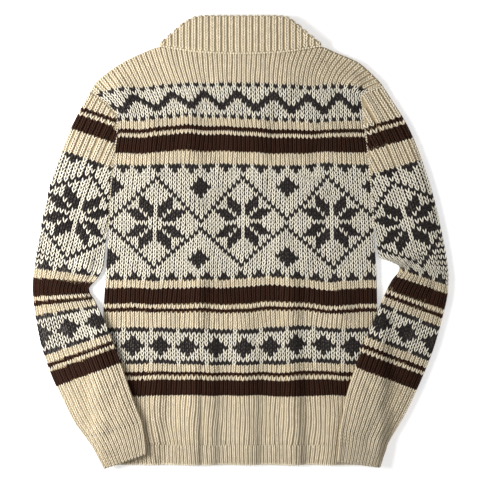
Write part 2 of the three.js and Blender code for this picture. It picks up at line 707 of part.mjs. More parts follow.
function toSolid(geometry) {
  const bare = geometry.index ? geometry.toNonIndexed() : geometry.clone();
  bare.deleteAttribute('normal');
  bare.deleteAttribute('uv');
  const merged = mergeVertices(bare, 1e-4);
  return new wasm.Manifold(new wasm.Mesh({
    numProp: 3,
    vertProperties: new Float32Array(merged.attributes.position.array),
    triVerts: new Uint32Array(merged.index.array),
  }));
}

function toGeometry(solid) {
  const mesh = solid.getMesh();
  const shape = new THREE.BufferGeometry();
  shape.setAttribute('position', new THREE.BufferAttribute(mesh.vertProperties, 3));
  shape.setIndex(new THREE.BufferAttribute(mesh.triVerts, 1));
  return shape;
}

const join = (shapes) => shapes.map(toSolid).reduce((a, b) => a.add(b));

// A plate with a rounded outline, in plan.
function plate(half, y0, y1, z, thick) {
  const round = half * 0.7;
  const outline = new THREE.Shape();
  outline.absarc(half - round, y1 - round, round, 0, Math.PI / 2);
  outline.absarc(round - half, y1 - round, round, Math.PI / 2, Math.PI);
  outline.absarc(round - half, y0 + round, round, Math.PI, 1.5 * Math.PI);
  outline.absarc(half - round, y0 + round, round, 1.5 * Math.PI, 2 * Math.PI);
  const made = new THREE.ExtrudeGeometry(outline, { depth: thick, bevelEnabled: false, curveSegments: 5 });
  return made.translate(0, 0, z);
}

// A round bar along X at the pull's pin.
function bar(radius, half, sides) {
  const made = new THREE.CylinderGeometry(radius, radius, 2 * half, sides);
  return made.rotateZ(Math.PI / 2).translate(0, PIN.y, PIN.z);
}

function slider() {
  const inner = plate(4.6, SLIDER_LOW, SLIDER_HIGH, CHAIN_MID + 1.7, PLATE);
  const outer = plate(3.7, SLIDER_LOW, SLIDER_HIGH, CHAIN_MID - 1.7 - PLATE, PLATE);
  const post = box(-1.8, 1.8, 208, 216, CHAIN_MID - 2, CHAIN_MID + 2);
  const ears = [-1, 1].map((sign) => {
    const [a, b] = [sign * EAR.inner, sign * EAR.outer];
    const top = CHAIN_MID - 1.7 - PLATE / 2;
    return box(Math.min(a, b), Math.max(a, b), PIN.y - 1.3, PIN.y + 1.3, PIN.z - 1.3, top);
  });
  return toGeometry(join([inner, outer, post, ...ears, bar(PIN.radius, EAR.inner + 0.6, 12)]));
}

function pullTab() {
  const z = PIN.z - TAB.thick / 2;
  const blade = plate(TAB.half, TAB_END, PIN.y - 3.4, z, TAB.thick);
  const neck = box(-TAB.neck, TAB.neck, PIN.y - 7, PIN.y - 0.9, z, z + TAB.thick);
  const hole = plate(1.6, TAB_END + 3, TAB_END + 12, z - 1, TAB.thick + 2);
  const solid = join([blade, neck, bar(PIN.knuckle, TAB.neck, 16)]);
  return toGeometry(solid.subtract(toSolid(bar(PIN.bore, TAB.neck + 1, 12))).subtract(toSolid(hole)));
}

// ---- Finishes and assembly ----
const knit = (color) => new THREE.MeshStandardMaterial({ color, roughness: 0.95, metalness: 0 });
const OATMEAL = 0xd6c8a8;
const wool = () => knit(OATMEAL);
const brass = () => new THREE.MeshStandardMaterial({ color: 0xa08a5a, roughness: 0.35, metalness: 1 });

const cardigan = new THREE.Group();
function add(name, geometry, material) {
  const mesh = new THREE.Mesh(geometry, material);
  mesh.name = name;
  cardigan.add(mesh);
}

add('back', ribbedSheet(backPlan, BACK_ROWS, BACK_RIBS, RIB), wool());
add('hem_back', ribbedSheet(hemPlan, [0, 0.5, 1], BACK_RIBS, RIB - 0.4), wool());
for (const side of ['left', 'right']) {
  const sign = side === 'left' ? -1 : 1;
  add(`front_${side}`, frontPanel(side), wool());
  add(`hem_front_${side}`, frontHem(side), wool());
  add(`sleeve_${side}`, sleeve(side), wool());
  add(`cuff_${side}`, cuff(side), wool());
  add(`collar_front_${side}`, frontCollar(side), wool());
  add(`zip_tape_${side}`, zipStrip(side, TAPE, -366, 230), knit(0x5a4636));
  add(`zip_teeth_${side}`, zipStrip(side, TEETH, CHAIN_LOW, CHAIN_HIGH), brass());
  const [near, far] = [sign * 0.5, sign * 3.3];
  const stop = box(Math.min(near, far), Math.max(near, far), 219.4, 222, CHAIN_MID - 1.2, CHAIN_MID + 1.2);
  add(`zip_stop_${side}`, stop, brass());
}
add('collar_back', backCollar(), wool());
add('collar_welt', collarWelt(), wool());
add('zip_box', box(-3.3, 3.3, -366, CHAIN_LOW - GAP, FLAT - 2, FLAT + 1.2), brass());
add('zip_slider', slider(), brass());
add('zip_pull', pullTab(), brass());

// The origin is the middle of the underside.
const bounds = new THREE.Box3().setFromObject(cardigan);
const middle = bounds.getCenter(new THREE.Vector3());
cardigan.position.set(-middle.x, -middle.y, -bounds.min.z);

export default cardigan;
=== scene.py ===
"""Looks of a heavy knitted zip cardigan that lies on its front, back up.

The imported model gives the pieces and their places. Each knitted piece gets a thin ribbed shell of its own
form, with its stitches on it as real loops of yarn, and then come the seams, the zip and the studio.
Sizes are in millimetres of the cardigan's own layout: +Y towards the neck, -X the wearer's left.
"""

import logging
import math
from dataclasses import dataclass
from enum import Enum
from functools import partial
from typing import Callable

import bpy
import numpy as np
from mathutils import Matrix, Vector


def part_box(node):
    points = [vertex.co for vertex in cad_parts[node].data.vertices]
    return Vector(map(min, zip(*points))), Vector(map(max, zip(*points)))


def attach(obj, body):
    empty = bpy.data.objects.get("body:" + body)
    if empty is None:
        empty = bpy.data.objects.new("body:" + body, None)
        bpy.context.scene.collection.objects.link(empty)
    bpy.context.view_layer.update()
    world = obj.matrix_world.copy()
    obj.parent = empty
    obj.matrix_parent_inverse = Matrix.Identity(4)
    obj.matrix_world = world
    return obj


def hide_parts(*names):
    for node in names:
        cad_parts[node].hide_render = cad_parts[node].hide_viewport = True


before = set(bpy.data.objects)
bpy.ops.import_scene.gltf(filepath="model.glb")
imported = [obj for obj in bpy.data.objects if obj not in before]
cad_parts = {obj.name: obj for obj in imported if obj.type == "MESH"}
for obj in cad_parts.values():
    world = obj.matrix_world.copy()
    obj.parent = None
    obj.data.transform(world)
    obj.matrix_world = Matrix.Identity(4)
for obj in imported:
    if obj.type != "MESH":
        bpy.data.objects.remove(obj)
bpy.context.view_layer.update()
log = logging.getLogger("cardigan")
Array = np.ndarray
Value = np.ndarray | float
Piece = bpy.types.Object
Surface = Callable[[Array, Array], Array]


# ---- Driving sizes, in millimetres ----
MM = 0.001  # in metres
GAP = 0.3  # between two pieces at a seam
WALL = 2.8  # the back's and the sleeves' knitting without its ribs
RIB = 2.0  # height of a rib
FLAT = 3.0  # knitting that is pressed flat
LOFT = 3.2  # how far the back stands off the fronts
LOFT_RUN = 70  # distance from a side seam over which it rises
YOKE_AIR = 1.4  # more air under the shoulders
SEAT = 0.9  # air between the back and a sleeve on it
BACK_RIBS = 60
SLEEVE_RIBS = 14
COLLAR_RIBS = 26
COURSE = 6.6  # one row of the two-coloured knitting
NECK_COURSE = 94  # the lowest one that shows inside the neck
TOP_COURSE = 101  # above the highest one
PRESSED_BED = 1.5  # depth that pressed stitches take up
GROOVE_IN = 0.3  # how far a groove is below the wall's height
HEM_END = -371
HEM_SEAM = -336
YOKE = 200
ZIP_EDGE = 4.2  # the fronts' edges, from the middle
COLLAR_HALF = 128
COLLAR_LIFT = FLAT + GAP
SLIDER_LIFT = 3.6
TAB_END = 182
SLIDER_LOW = 203
SLIDER_HIGH = 219
UNDERARM = 19
SIGN = {"left": -1, "right": 1}


# ---- Small maths ----
def mix(a: Value, b: Value, t: Value) -> Value:
    """Value at the share t from a to b."""
    return a + (b - a) * t


def ease(t: Value) -> Array:
    """Share t from 0 to 1 with soft ends."""
    held = np.clip(t, 0, 1)
    return held * held * (3 - 2 * held)


def unit(vectors: Array) -> Array:
    """The same directions at length 1."""
    return vectors / np.maximum(np.linalg.norm(vectors, axis=-1, keepdims=True), 1e-9)


def stack(*parts: Value) -> Array:
    """Points or rows of numbers from their columns, spread to one shape."""
    return np.stack(np.broadcast_arrays(*parts), axis=-1).astype(float)


def swell(away: Array) -> Array:
    """A soft mound: 1 at the distance 0, and 0 from the distance 1 on."""
    return np.where(away < 1, (1 - away**2) ** 2, 0)


def run_length(points: Array) -> Array:
    """Distance run along each row of points."""
    step = np.linalg.norm(np.diff(points, axis=-2), axis=-1)
    return np.concatenate([np.zeros((*step.shape[:-1], 1)), np.cumsum(step, axis=-1)], axis=-1)


def shares_across(side: str, count: int) -> Array:
    """A row of shares from a side's outer edge, in their order from the left as seen from above."""
    share = np.linspace(0, 1, count)[None, :]
    return share if side == "left" else share[:, ::-1]


@dataclass(frozen=True)
class Table:
    """Rows of named columns, read smoothly by the first one.

    names are the columns' names, and rows their values, the first column rising.
    """

    names: tuple[str, ...]
    rows: tuple[tuple[float, ...], ...]

    def read(self, column: str, value: Value) -> Array:
        """A smooth curve through one column.

        Args:
            column: name of the column.
            value: where it is read, in the first column's unit.
        Returns:
            The column's value there.
        """
        data = np.array(self.rows, float)
        keys, values = data[:, 0], data[:, self.names.index(column)]
        last = len(keys) - 1
        near = np.searchsorted(keys[1:last], value)
        before = np.maximum(np.arange(last + 1) - 1, 0)
        after = np.minimum(np.arange(last + 1) + 1, last)
        slope = (values[after] - values[before]) / (keys[after] - keys[before])
        span = keys[near + 1] - keys[near]
        t = np.clip((value - keys[near]) / span, 0, 1)
        lean = slope[near] * t * (1 - t) ** 2 - slope[near + 1] * t * t * (1 - t)
        return mix(values[near], values[near + 1], ease(t)) + lean * span


# ---- The cardigan's own tables ----
OUTLINE = Table(("y", "left", "right"), (
    (-371, -220, 220), (-336, -225, 224), (-250, -227, 226), (-121, -227, 226.5),
    (-52, -223, 225), (19, -218, 220.5), (63, -216, 218), (133, -209.8, 212),
    (200, -203.5, 204), (225, -219, 201), (237, -233, 200), (249, -247, 216),
    (262, -238, 231), (278, -219, 214), (294, -195, 195), (311, -160, 157),
    (319, -134, 135),
))
YOKE_EDGES = Table(("f", "leftX", "leftY", "rightX", "rightY"), (
    (0, -203.5, 200, 204, 200), (0.25, -207, 212, 202, 217), (0.5, -219, 225, 200, 238),
    (0.75, -233, 237, 213, 247), (1, -247.5, 249, 236, 255),
))
TOP = Table(("s", "x", "y"), (
    (0, -247.5, 249), (0.023, -239, 261.5), (0.068, -219.5, 278), (0.122, -194.7, 294.5),
    (0.194, -160, 311), (0.247, -133.7, 319.3), (0.511, 0, 322), (0.779, 135.3, 319.3),
    (0.822, 156.8, 311), (0.9, 194.7, 294.5), (0.945, 214.5, 278), (0.984, 231, 261.5),
    (1, 236, 255),
))
NECK_LEFT = 0.247
NECK_RIGHT = 0.779
ARMHOLE = Table(("a", "left", "right"), (
    (0, 0, 0), (0.2, 0.14, 0.11), (0.33, 0.233, 0.17), (0.4, 0.307, 0.3),
    (0.48, 0.39, 0.44), (0.64, 0.6, 0.64), (0.85, 0.84, 0.86), (1, 1, 1),
))
SECTION = ("t", "outerX", "outerY", "innerX", "innerY", "loft")
SLEEVES = {
    "left": Table(SECTION, (
        (0, -247.5, 249, -218, 19, 0.8), (1, -283.8, 179, -222, -2.5, 2),
        (2, -316.8, 88.3, -224, -23.9, 2.2), (3, -337.4, -10.7, -227, -45.4, 3.2),
        (4, -343.2, -52, -236.5, -63.5, 3.2), (5, -344.8, -81.7, -250.8, -81.7, 3.2),
        (6, -341.5, -118, -237.6, -103.1, 3.2), (7, -330, -175.7, -219.4, -141.1, 3.2),
        (8, -315.1, -220.3, -204.6, -179, 3.2), (9, -297, -259.9, -189.8, -220.3, 3.2),
        (10, -277.2, -299.5, -174.9, -263.2, 3.2), (11, -258.2, -325.9, -161.7, -296.2, 2.6),
    )),
    "right": Table(SECTION, (
        (0, 236, 255, 220.5, 19, 0.8), (1, 280.5, 182.3, 223.5, -2.5, 2),
        (2, 315.1, 89.9, 226.5, -15.7, 2.2), (3, 336.6, 0.8, 231, -28.9, 3.2),
        (4, 344, -45.4, 248, -35.5, 3.2), (5, 344.8, -71.8, 265.6, -47, 3.2),
        (6, 341.5, -101.5, 247.5, -70.1, 3.2), (7, 325, -164.2, 222.8, -121.3, 3.2),
        (8, 311.8, -202.1, 206.2, -160.9, 3.2), (9, 293.7, -245, 189.8, -205.4, 3.2),
        (10, 272.2, -289.6, 174.9, -250, 3.2), (11, 245.8, -334.1, 163.3, -306.1, 2.6),
    )),
}
CUFFS = {
    "left": Table(SECTION, (
        (0, -257.6, -326.9, -161.1, -297.2, 2.2), (1, -243.5, -346, -157, -322, 2.6),
        (2, -226, -377, -154.6, -350.6, 1.6),
    )),
    "right": Table(SECTION, (
        (0, 245.2, -335.1, 162.8, -307.1, 2.2), (1, 240, -350, 160.5, -336, 2.6),
        (2, 231.5, -374.5, 157.8, -363.8, 1.6),
    )),
}
COLLAR_TOP = Table(("x", "y"), (
    (-134, 325), (-124, 335), (-112, 345), (-94, 361),
    (-76, 370.5), (-58, 372.6), (0, 372.8), (58, 372.6),
    (76, 370.5), (91, 361), (110, 345), (124, 334),
    (134, 325),
))
COLLAR_EDGE = Table(("x", "y"), (
    (-128, 320.5), (-105, 316.3), (-76, 312), (-45, 309.7),
    (0, 308.4), (45, 309.7), (76, 312), (105, 316.3),
    (128, 320.5),
))
COLLAR_FRONT = Table(("x", "fold", "edge"), (
    (8, 291, 223), (40, 294, 234), (80, 305, 264), (110, 318, 297),
    (128, 327, 318.5),
))


@dataclass(frozen=True)
class Fold:
    """A soft ridge, or a hollow where height is negative, from one point to another."""

    x: float
    y: float
    to_x: float
    to_y: float
    width: float
    height: float

    def rise(self, x: Array, y: Array) -> Array:
        """Its height at points of the plan."""
        run_x, run_y = self.to_x - self.x, self.to_y - self.y
        along = ((x - self.x) * run_x + (y - self.y) * run_y) / (run_x**2 + run_y**2)
        held = np.clip(along, 0, 1)
        off_x, off_y = x - self.x - held * run_x, y - self.y - held * run_y
        return self.height * swell(np.hypot(off_x, off_y) / self.width)


def fold_height(folds: tuple[Fold, ...], x: Array, y: Array) -> Array:
    """Height that several folds give together."""
    return sum(fold.rise(x, y) for fold in folds)


BODY_FOLDS = (
    Fold(-161, 246, -152, 226, 30, -2.2), Fold(-203, 255, -190, 225, 26, 2.6),
    Fold(172, 250, 164, 230, 26, -2.2), Fold(190, 262, 182, 232, 24, 2.4),
    Fold(-89, 214, -93, 134, 20, 1.8), Fold(-100, 30, -60, -70, 30, 1.4),
    Fold(70, 120, 120, -10, 34, 1.4), Fold(150, -60, 190, 10, 26, -1.6),
    Fold(-114, -250, -126, -371, 20, -2.4), Fold(-92, -262, -98, -371, 20, 2.2),
    Fold(156, -290, 150, -371, 22, 4), Fold(112, -232, 114, -371, 20, -2.4),
)
SLEEVE_FOLDS = (
    Fold(-222, -6, -239, -62, 24, -6), Fold(-246, -84, -292, -52, 15, -3.4),
    Fold(-252, -98, -300, -104, 16, 2.4), Fold(-244, -52, -284, -16, 16, 2.4),
    Fold(-290, 60, -306, -20, 22, 1.6), Fold(-250, -190, -268, -150, 22, 1.8),
    Fold(-214, -262, -240, -290, 20, -1.8), Fold(224, -4, 252, -34, 22, -6),
    Fold(260, -50, 300, -28, 15, -3.4), Fold(262, -68, 306, -76, 16, 2.4),
    Fold(256, -22, 290, 8, 16, 2.4), Fold(284, 96, 304, 20, 22, 1.6),
    Fold(250, -160, 268, -208, 22, 1.8), Fold(206, -240, 236, -262, 20, -1.8),
)
# Finer creases that only the looks have.
BODY_CREASES = (
    Fold(-70, -70, -76, -371, 23, 5.2), Fold(-66, -210, -65, -371, 8, -2.0),
    Fold(-50, -160, -51, -371, 15, 3.0), Fold(-24, -190, -27, -371, 20, -1.6),
    Fold(6, -130, 10, -371, 25, 2.8), Fold(40, -190, 38, -371, 17, -2.2),
    Fold(82, -70, 86, -371, 23, 5.4), Fold(-140, -200, -146, -371, 20, 2.0),
    Fold(-150, 196, -144, 112, 17, 2.4), Fold(-118, 236, -100, 168, 15, -1.6),
    Fold(-82, 236, -74, 60, 22, 3.2), Fold(-66, 40, -60, -40, 24, 2.4),
    Fold(-30, 232, -36, 140, 22, -1.8), Fold(40, 215, 30, 92, 24, 2.8),
    Fold(96, 238, 84, 150, 16, -1.6), Fold(138, 214, 122, 128, 18, -2.2),
    Fold(-170, 60, -120, -10, 24, 2.2), Fold(-20, 74, -14, -70, 26, -2.2),
    Fold(64, 20, 78, -50, 22, 2.8), Fold(150, 70, 120, -60, 22, -2.0),
    Fold(172, -96, 150, -176, 20, 1.8), Fold(-204, 262, -192, 232, 24, 1.6),
)
SLEEVE_CREASES = (
    Fold(-284, 150, -300, 40, 40, 1.6), Fold(-266, -90, -206, -290, 44, 2.2),
    Fold(-262, 60, -276, -4, 20, -1.4), Fold(-318, -60, -296, -150, 16, -1.2),
    Fold(-202, -240, -214, -322, 13, -1.3), Fold(284, 150, 300, 40, 40, 1.6),
    Fold(268, -80, 203, -300, 44, 2.0), Fold(262, 70, 272, 8, 20, -1.4),
    Fold(320, -70, 300, -160, 16, -1.2), Fold(236, -270, 208, -330, 13, -1.3),
)


@dataclass(frozen=True)
class Pull:
    """A place where the soft cloth has been drawn aside by a small distance."""

    x: float
    y: float
    radius: float
    aside: float
    up: float
    squeeze: float = 0.7

    def share(self, x: Array, y: Array) -> Array:
        """How much of it points of the plan feel."""
        return swell(np.hypot(x - self.x, (y - self.y) * self.squeeze) / self.radius)


BODY_PULLS = (
    Pull(-166, -292, 62, -7, 0), Pull(-128, -352, 46, 5, 0), Pull(-64, -250, 60, 3.5, 2),
    Pull(60, -320, 54, -4, 0), Pull(132, -300, 60, 7, 0), Pull(96, -352, 40, -4, 0),
    Pull(-104, 196, 70, 2, 6), Pull(-16, 232, 74, -2, 4), Pull(-166, 150, 50, -2, -4),
    Pull(96, 176, 80, 3, -4), Pull(150, 120, 60, -3, 3), Pull(-90, 20, 80, 3, -4),
    Pull(40, -60, 90, -4, 4), Pull(160, -80, 60, 3, -3), Pull(-20, -160, 76, 3, -4),
    Pull(110, -170, 60, -3, 3),
)


# ---- Heights of the layers ----
class Layers:
    """How high each layer of the laid cardigan is, in plan coordinates."""

    climb_start = -58
    climb_run = 45
    climb_reach = 28
    shoulder_neck = (133.7, 319.3)
    front_neck = 250
    collar_slope = 1.5
    collar_start, collar_run = 43, 40
    slider_half, slider_clear, slider_run = 13, 4, 42
    tab_overlap = 14
    shoulder_end, shoulder_run = 330, 50
    hem_lead, hem_run = 35, 70
    yoke_start, yoke_run = 225, 30

    @classmethod
    def neck_seam(cls, x: Array) -> Array:
        """Where the fronts' neck seam runs at a distance from the middle."""
        share = (np.abs(x) - ZIP_EDGE) / (cls.shoulder_neck[0] - ZIP_EDGE)
        return mix(cls.front_neck, cls.shoulder_neck[1], share * share)

    @classmethod
    def lift(cls, x: Array, y: Array) -> Array:
        """Height of the fronts' outer face, over the collar's front and the slider."""
        beyond = np.maximum(np.abs(x) - COLLAR_HALF, 0)
        edge = COLLAR_FRONT.read("edge", np.abs(x)) + cls.collar_slope * beyond
        collar = COLLAR_LIFT * ease((y - edge + cls.collar_start) / cls.collar_run)
        beside = np.maximum(np.abs(x) - cls.slider_half, 0)
        past = np.maximum(TAB_END - cls.tab_overlap - y, y - SLIDER_HIGH - cls.slider_clear)
        slider = SLIDER_LIFT * (1 - ease(np.hypot(beside, np.maximum(past, 0)) / cls.slider_run))
        return np.maximum(collar, slider)

    @classmethod
    def open_share(cls, x: Array, y: Array) -> Array:
        """How far the back is free of its seams: 0 at a seam, 1 in the open."""
        left = ease((x - OUTLINE.read("left", y)) / LOFT_RUN)
        right = ease((OUTLINE.read("right", y) - x) / LOFT_RUN)
        shoulder = ease((cls.shoulder_end - y) / cls.shoulder_run)
        return left * right * shoulder * ease((y - HEM_END + cls.hem_lead) / cls.hem_run)

    @classmethod
    def back_inside(cls, x: Array, y: Array) -> Array:
        """Height of the back's inner face."""
        free = cls.open_share(x, y)
        folds = fold_height(BODY_FOLDS + BODY_CREASES, x, y) * np.clip(free * 2, 0, 1)
        air = YOKE_AIR * ease((y - cls.yoke_start) / cls.yoke_run)
        return cls.lift(x, y) + FLAT + GAP + air + np.maximum(0, LOFT * free + folds)

    @classmethod
    def ground(cls, x: Array, y: Array) -> Array:
        """Height of what a sleeve's underside lies on."""
        left = OUTLINE.read("left", y) - x
        right = x - OUTLINE.read("right", y)
        away = np.hypot(np.maximum(np.maximum(left, right), 0), np.maximum(HEM_END - y, 0))
        climb = ease((cls.climb_start - y) / cls.climb_run)
        top = cls.back_inside(x, y) + WALL + RIB + SEAT
        return climb * (1 - ease(away / cls.climb_reach)) * top


# ---- Yarns and charts ----
class Yarn(Enum):
    """The yarns, each with its colour in linear light."""

    CREAM = (0.740, 0.655, 0.500)
    BROWN = (0.040, 0.017, 0.010)
    CHARCOAL = (0.024, 0.019, 0.019)
    MARL = (0.775, 0.725, 0.605)

    @property
    def colour(self) -> Array:
        """Its colour as numbers."""
        return np.array(self.value)


YARNS = tuple(Yarn)
CREAM, BROWN, CHARCOAL, MARL = range(len(YARNS))
# Painted shade: a yarn's colour is darkened by this where the shell shows in the grooves between the ribs.
GROOVE_PAINTED_SHADE = np.array([0.62, 0.55, 0.43])
COLOURS = np.array([yarn.colour for yarn in YARNS])
# The cream in that painted groove shade, for shells that are cream all over.
PAINTED_SHADE_CREAM = COLOURS[CREAM] * GROOVE_PAINTED_SHADE


@dataclass(frozen=True)
class Stripe:
    """A plain brown stripe, from its first course up."""

    first: int
    courses: int


@dataclass(frozen=True)
class Band:
    """A band of two-coloured knitting whose repeat is charted in rows, the top one first.

    first is its lowest course. In a row, # is charcoal and . is the marled off-white.
    """

    first: int
    rows: tuple[str, ...]

    def read(self, wale: Array, course: Array) -> Array:
        """True where the motif's dark yarn shows, for whole wales and courses from the middle."""
        chart = np.array([[mark == "#" for mark in row] for row in reversed(self.rows)])
        return chart[np.clip(course - self.first, 0, len(chart) - 1), wale % chart.shape[1]]


def star_panel(half_height: int, period: int) -> tuple[str, ...]:
    """Charts a lattice of lozenges with an eight-pointed star in each and small ones between.

    Args:
        half_height: courses above the middle one.
        period: wales from one star to the next.
    Returns:
        The chart's rows, the top one first.
    """
    frame_reach = half_height - 3
    arm = 3

    def dark(x: int, y: int) -> bool:
        """True where the dark yarn shows, in wales and courses from the star's middle."""
        across, up = abs(x), abs(y)
        if up == half_height:
            return x % 4 != 2
        if up == half_height - 1:
            return x % 4 == 0
        small, large = min(across, up), max(across, up)
        star = 1 <= small <= arm and small < large <= small + arm
        lattice = across + up == frame_reach
        lozenge = abs(across - period // 2) + abs(up - frame_reach + 2) <= 2
        return star or lattice or lozenge

    columns = [x if x <= period // 2 else x - period for x in range(period)]
    return tuple("".join("#" if dark(x, y) else "." for x in columns)
                 for y in range(half_height, -half_height - 1, -1))


LOZENGE_ROWS = (
    "####.#",
    "......",
    "#.....",
    "##...#",
    "###.##",
    "##...#",
    "#.....",
    "......",
    "####.#",
)
CHEVRON_ROWS = (
    "#.#.#.#.",
    "........",
    "#......#",
    "##....##",
    ".##..##.",
    "..####..",
    "...##...",
    "........",
    "#.#.#.#.",
)


@dataclass(frozen=True)
class Pattern:
    """The colours of one piece: plain cream, stripes, and bands of two-coloured knitting.

    middle is the wale that the bands are centred on.
    """

    middle: int
    stripes: tuple[Stripe, ...]
    bands: tuple[Band, ...]

    def yarn(self, wale: Array, course: Array) -> Array:
        """Which yarn each stitch has.

        Args:
            wale: whole numbers of the ribs.
            course: whole numbers of the courses.
        Returns:
            An index into YARNS for each.
        """
        wale, course = np.broadcast_arrays(wale, course)
        chosen = np.full(wale.shape, CREAM)
        for stripe in self.stripes:
            inside = (course >= stripe.first) & (course < stripe.first + stripe.courses)
            chosen = np.where(inside, BROWN, chosen)
        for band in self.bands:
            inside = (course >= band.first) & (course < band.first + len(band.rows))
            dark = band.read(wale - self.middle, course)
            chosen = np.where(inside, np.where(dark, CHARCOAL, MARL), chosen)
        return chosen

    def at(self, ribs: int, share: Array, course: Array) -> Array:
        """Which yarn lies at a share across so many ribs, and at a course with its fraction."""
        wale = np.clip(np.floor(share * ribs), 0, ribs - 1).astype(int)
        return self.yarn(wale, np.floor(course).astype(int))


BODY_PATTERN = Pattern(
    middle=BACK_RIBS // 2,
    stripes=(Stripe(12, 4), Stripe(17, 1), Stripe(33, 1), Stripe(35, 4), Stripe(73, 4), Stripe(78, 1)),
    bands=(
        Band(20, LOZENGE_ROWS),
        Band(41, star_panel(14, 20)),
        Band(81, CHEVRON_ROWS),
    ),
)
SLEEVE_PATTERN = Pattern(
    middle=6,
    stripes=(Stripe(15, 4), Stripe(20, 1), Stripe(34, 1), Stripe(36, 4), Stripe(77, 4), Stripe(82, 1)),
    bands=(Band(23, LOZENGE_ROWS), Band(42, star_panel(14, 20))),
)
PLAIN_PATTERN = Pattern(middle=0, stripes=(), bands=())


# ---- Meshes ----
SLIDER_MIDDLE = (SLIDER_LOW + SLIDER_HIGH) / 2
SLIDER_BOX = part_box("zip_slider")
SHIFT_Y = (SLIDER_BOX[0].y + SLIDER_BOX[1].y) / 2 - SLIDER_MIDDLE * MM


def to_frame(points: Array) -> Array:
    """Layout millimetres to the frame's metres."""
    placed = points.reshape(-1, 3) * MM
    placed[:, 1] += SHIFT_Y
    return placed


def new_piece(name: str, points: Array, faces: list[Array], colours: Array | None = None,
              by_face: bool = False) -> Piece:
    """A mesh piece with smooth faces.

    Args:
        name: the piece's name.
        points: its points in layout millimetres.
        faces: arrays of corner numbers, one array for each number of corners.
        colours: a linear colour for each point or one for all, or None.
        by_face: True where a whole face takes the colour of its lowest point, so that colours don't mix.
    Returns:
        The new object, linked to the scene.
    """
    mesh = bpy.data.meshes.new(name)
    loops = [face for group in faces for face in group.tolist()]
    mesh.from_pydata(to_frame(points).tolist(), [], loops)
    mesh.polygons.foreach_set("use_smooth", np.ones(len(loops), bool))
    if colours is not None:
        layer = mesh.color_attributes.new("yarn", "FLOAT_COLOR", "CORNER" if by_face else "POINT")
        values = np.broadcast_to(colours.reshape(-1, 3), (len(mesh.vertices), 3))
        if by_face:
            lowest = [np.repeat(group.min(axis=1), group.shape[1]) for group in faces]
            values = values[np.concatenate(lowest)]
        full = np.ones((len(values), 4), np.float32)
        full[:, :3] = values
        layer.data.foreach_set("color", full.ravel())
    piece = bpy.data.objects.new(name, mesh)
    bpy.context.scene.collection.objects.link(piece)
    return piece


def grid_index(rows: int, columns: int, start: int, around: bool) -> Array:
    """Numbers of a grid's points, where a line that runs all the way round ends on its first point."""
    index = start + np.arange(rows * columns).reshape(rows, columns)
    return np.concatenate([index, index[:, :1]], axis=1) if around else index


def grid_quads(index: Array) -> Array:
    """Corner numbers of a grid's quads, one row of four for each."""
    corners = (index[:-1, :-1], index[:-1, 1:], index[1:, 1:], index[1:, :-1])
    return np.stack(corners, axis=-1).reshape(-1, 4)


def closed_wall(upper: Array, lower: Array, around: bool = False) -> tuple[Array, list[Array]]:
    """A closed wall between two grids that share their rows, the lower with fewer columns.

    Args:
        upper: rows by columns of points on the outer face.
        lower: rows by fewer columns on the inner face, a whole share of the upper ones.
        around: True for a tube, whose last column is its first one again.
    Returns:
        The points, and the faces as arrays of corner numbers.
    """
    if around:
        upper, lower = upper[:, :-1], lower[:, :-1]
    rows, wide = upper.shape[:2]
    over = grid_index(rows, wide, 0, around)
    under = grid_index(rows, lower.shape[1], rows * wide, around)
    narrow = under.shape[1] - 1
    ratio = (over.shape[1] - 1) // narrow
    fans = np.arange(narrow)[:, None] * ratio + np.arange(ratio + 1)
    faces = [grid_quads(over), grid_quads(under)[:, ::-1]]
    for row, step in ((0, -1), (-1, 1)):
        cap = np.concatenate([over[row][fans], under[row, 1:, None], under[row, :-1, None]], axis=1)
        faces.append(cap[:, ::step])
    if not around:
        for column, step in ((0, 1), (-1, -1)):
            up, down = over[:, column], under[:, column]
            faces.append(np.stack([up[:-1], up[1:], down[1:], down[:-1]], axis=1)[:, ::step])
    return np.concatenate([upper.reshape(-1, 3), lower.reshape(-1, 3)]), faces


class CourseMap:
    """Finds the place along each wale that lies a given distance from its start."""

    lines = 241
    samples = 500

    def __init__(self, measure: Surface, low: float, high: float) -> None:
        """Measures every wale.

        Args:
            measure: gives the distance along the wale at a share across and a place along.
            low: the place where a wale starts.
            high: the place where it ends.
        """
        self.shares = np.linspace(0, 1, self.lines)
        places = np.linspace(low, high, self.samples)
        measured = measure(self.shares[:, None], places[None, :])
        measured = np.maximum.accumulate(measured - measured[:, :1], axis=1)
        self.length = measured[:, -1]
        steps = np.linspace(0, 1, self.samples)
        self.places = np.array([
            np.interp(steps * total, line, places) for line, total in zip(measured, self.length)
        ])

    def total(self, share: Array) -> Array:
        """Length of the wale at a share across."""
        return np.interp(share, self.shares, self.length)

    def find(self, share: Array, distance: Array) -> Array:
        """The place along the wale at a share across and a distance from its start."""
        share, distance = np.broadcast_arrays(share, distance)
        along = np.clip(distance / self.total(share), 0, 1) * (self.samples - 1)
        across = np.clip(share, 0, 1) * (self.lines - 1)
        row = np.minimum(across.astype(int), self.lines - 2)
        column = np.minimum(along.astype(int), self.samples - 2)
        right, up = across - row, along - column
        here = mix(self.places[row, column], self.places[row, column + 1], up)
        there = mix(self.places[row + 1, column], self.places[row + 1, column + 1], up)
        return mix(here, there, right)


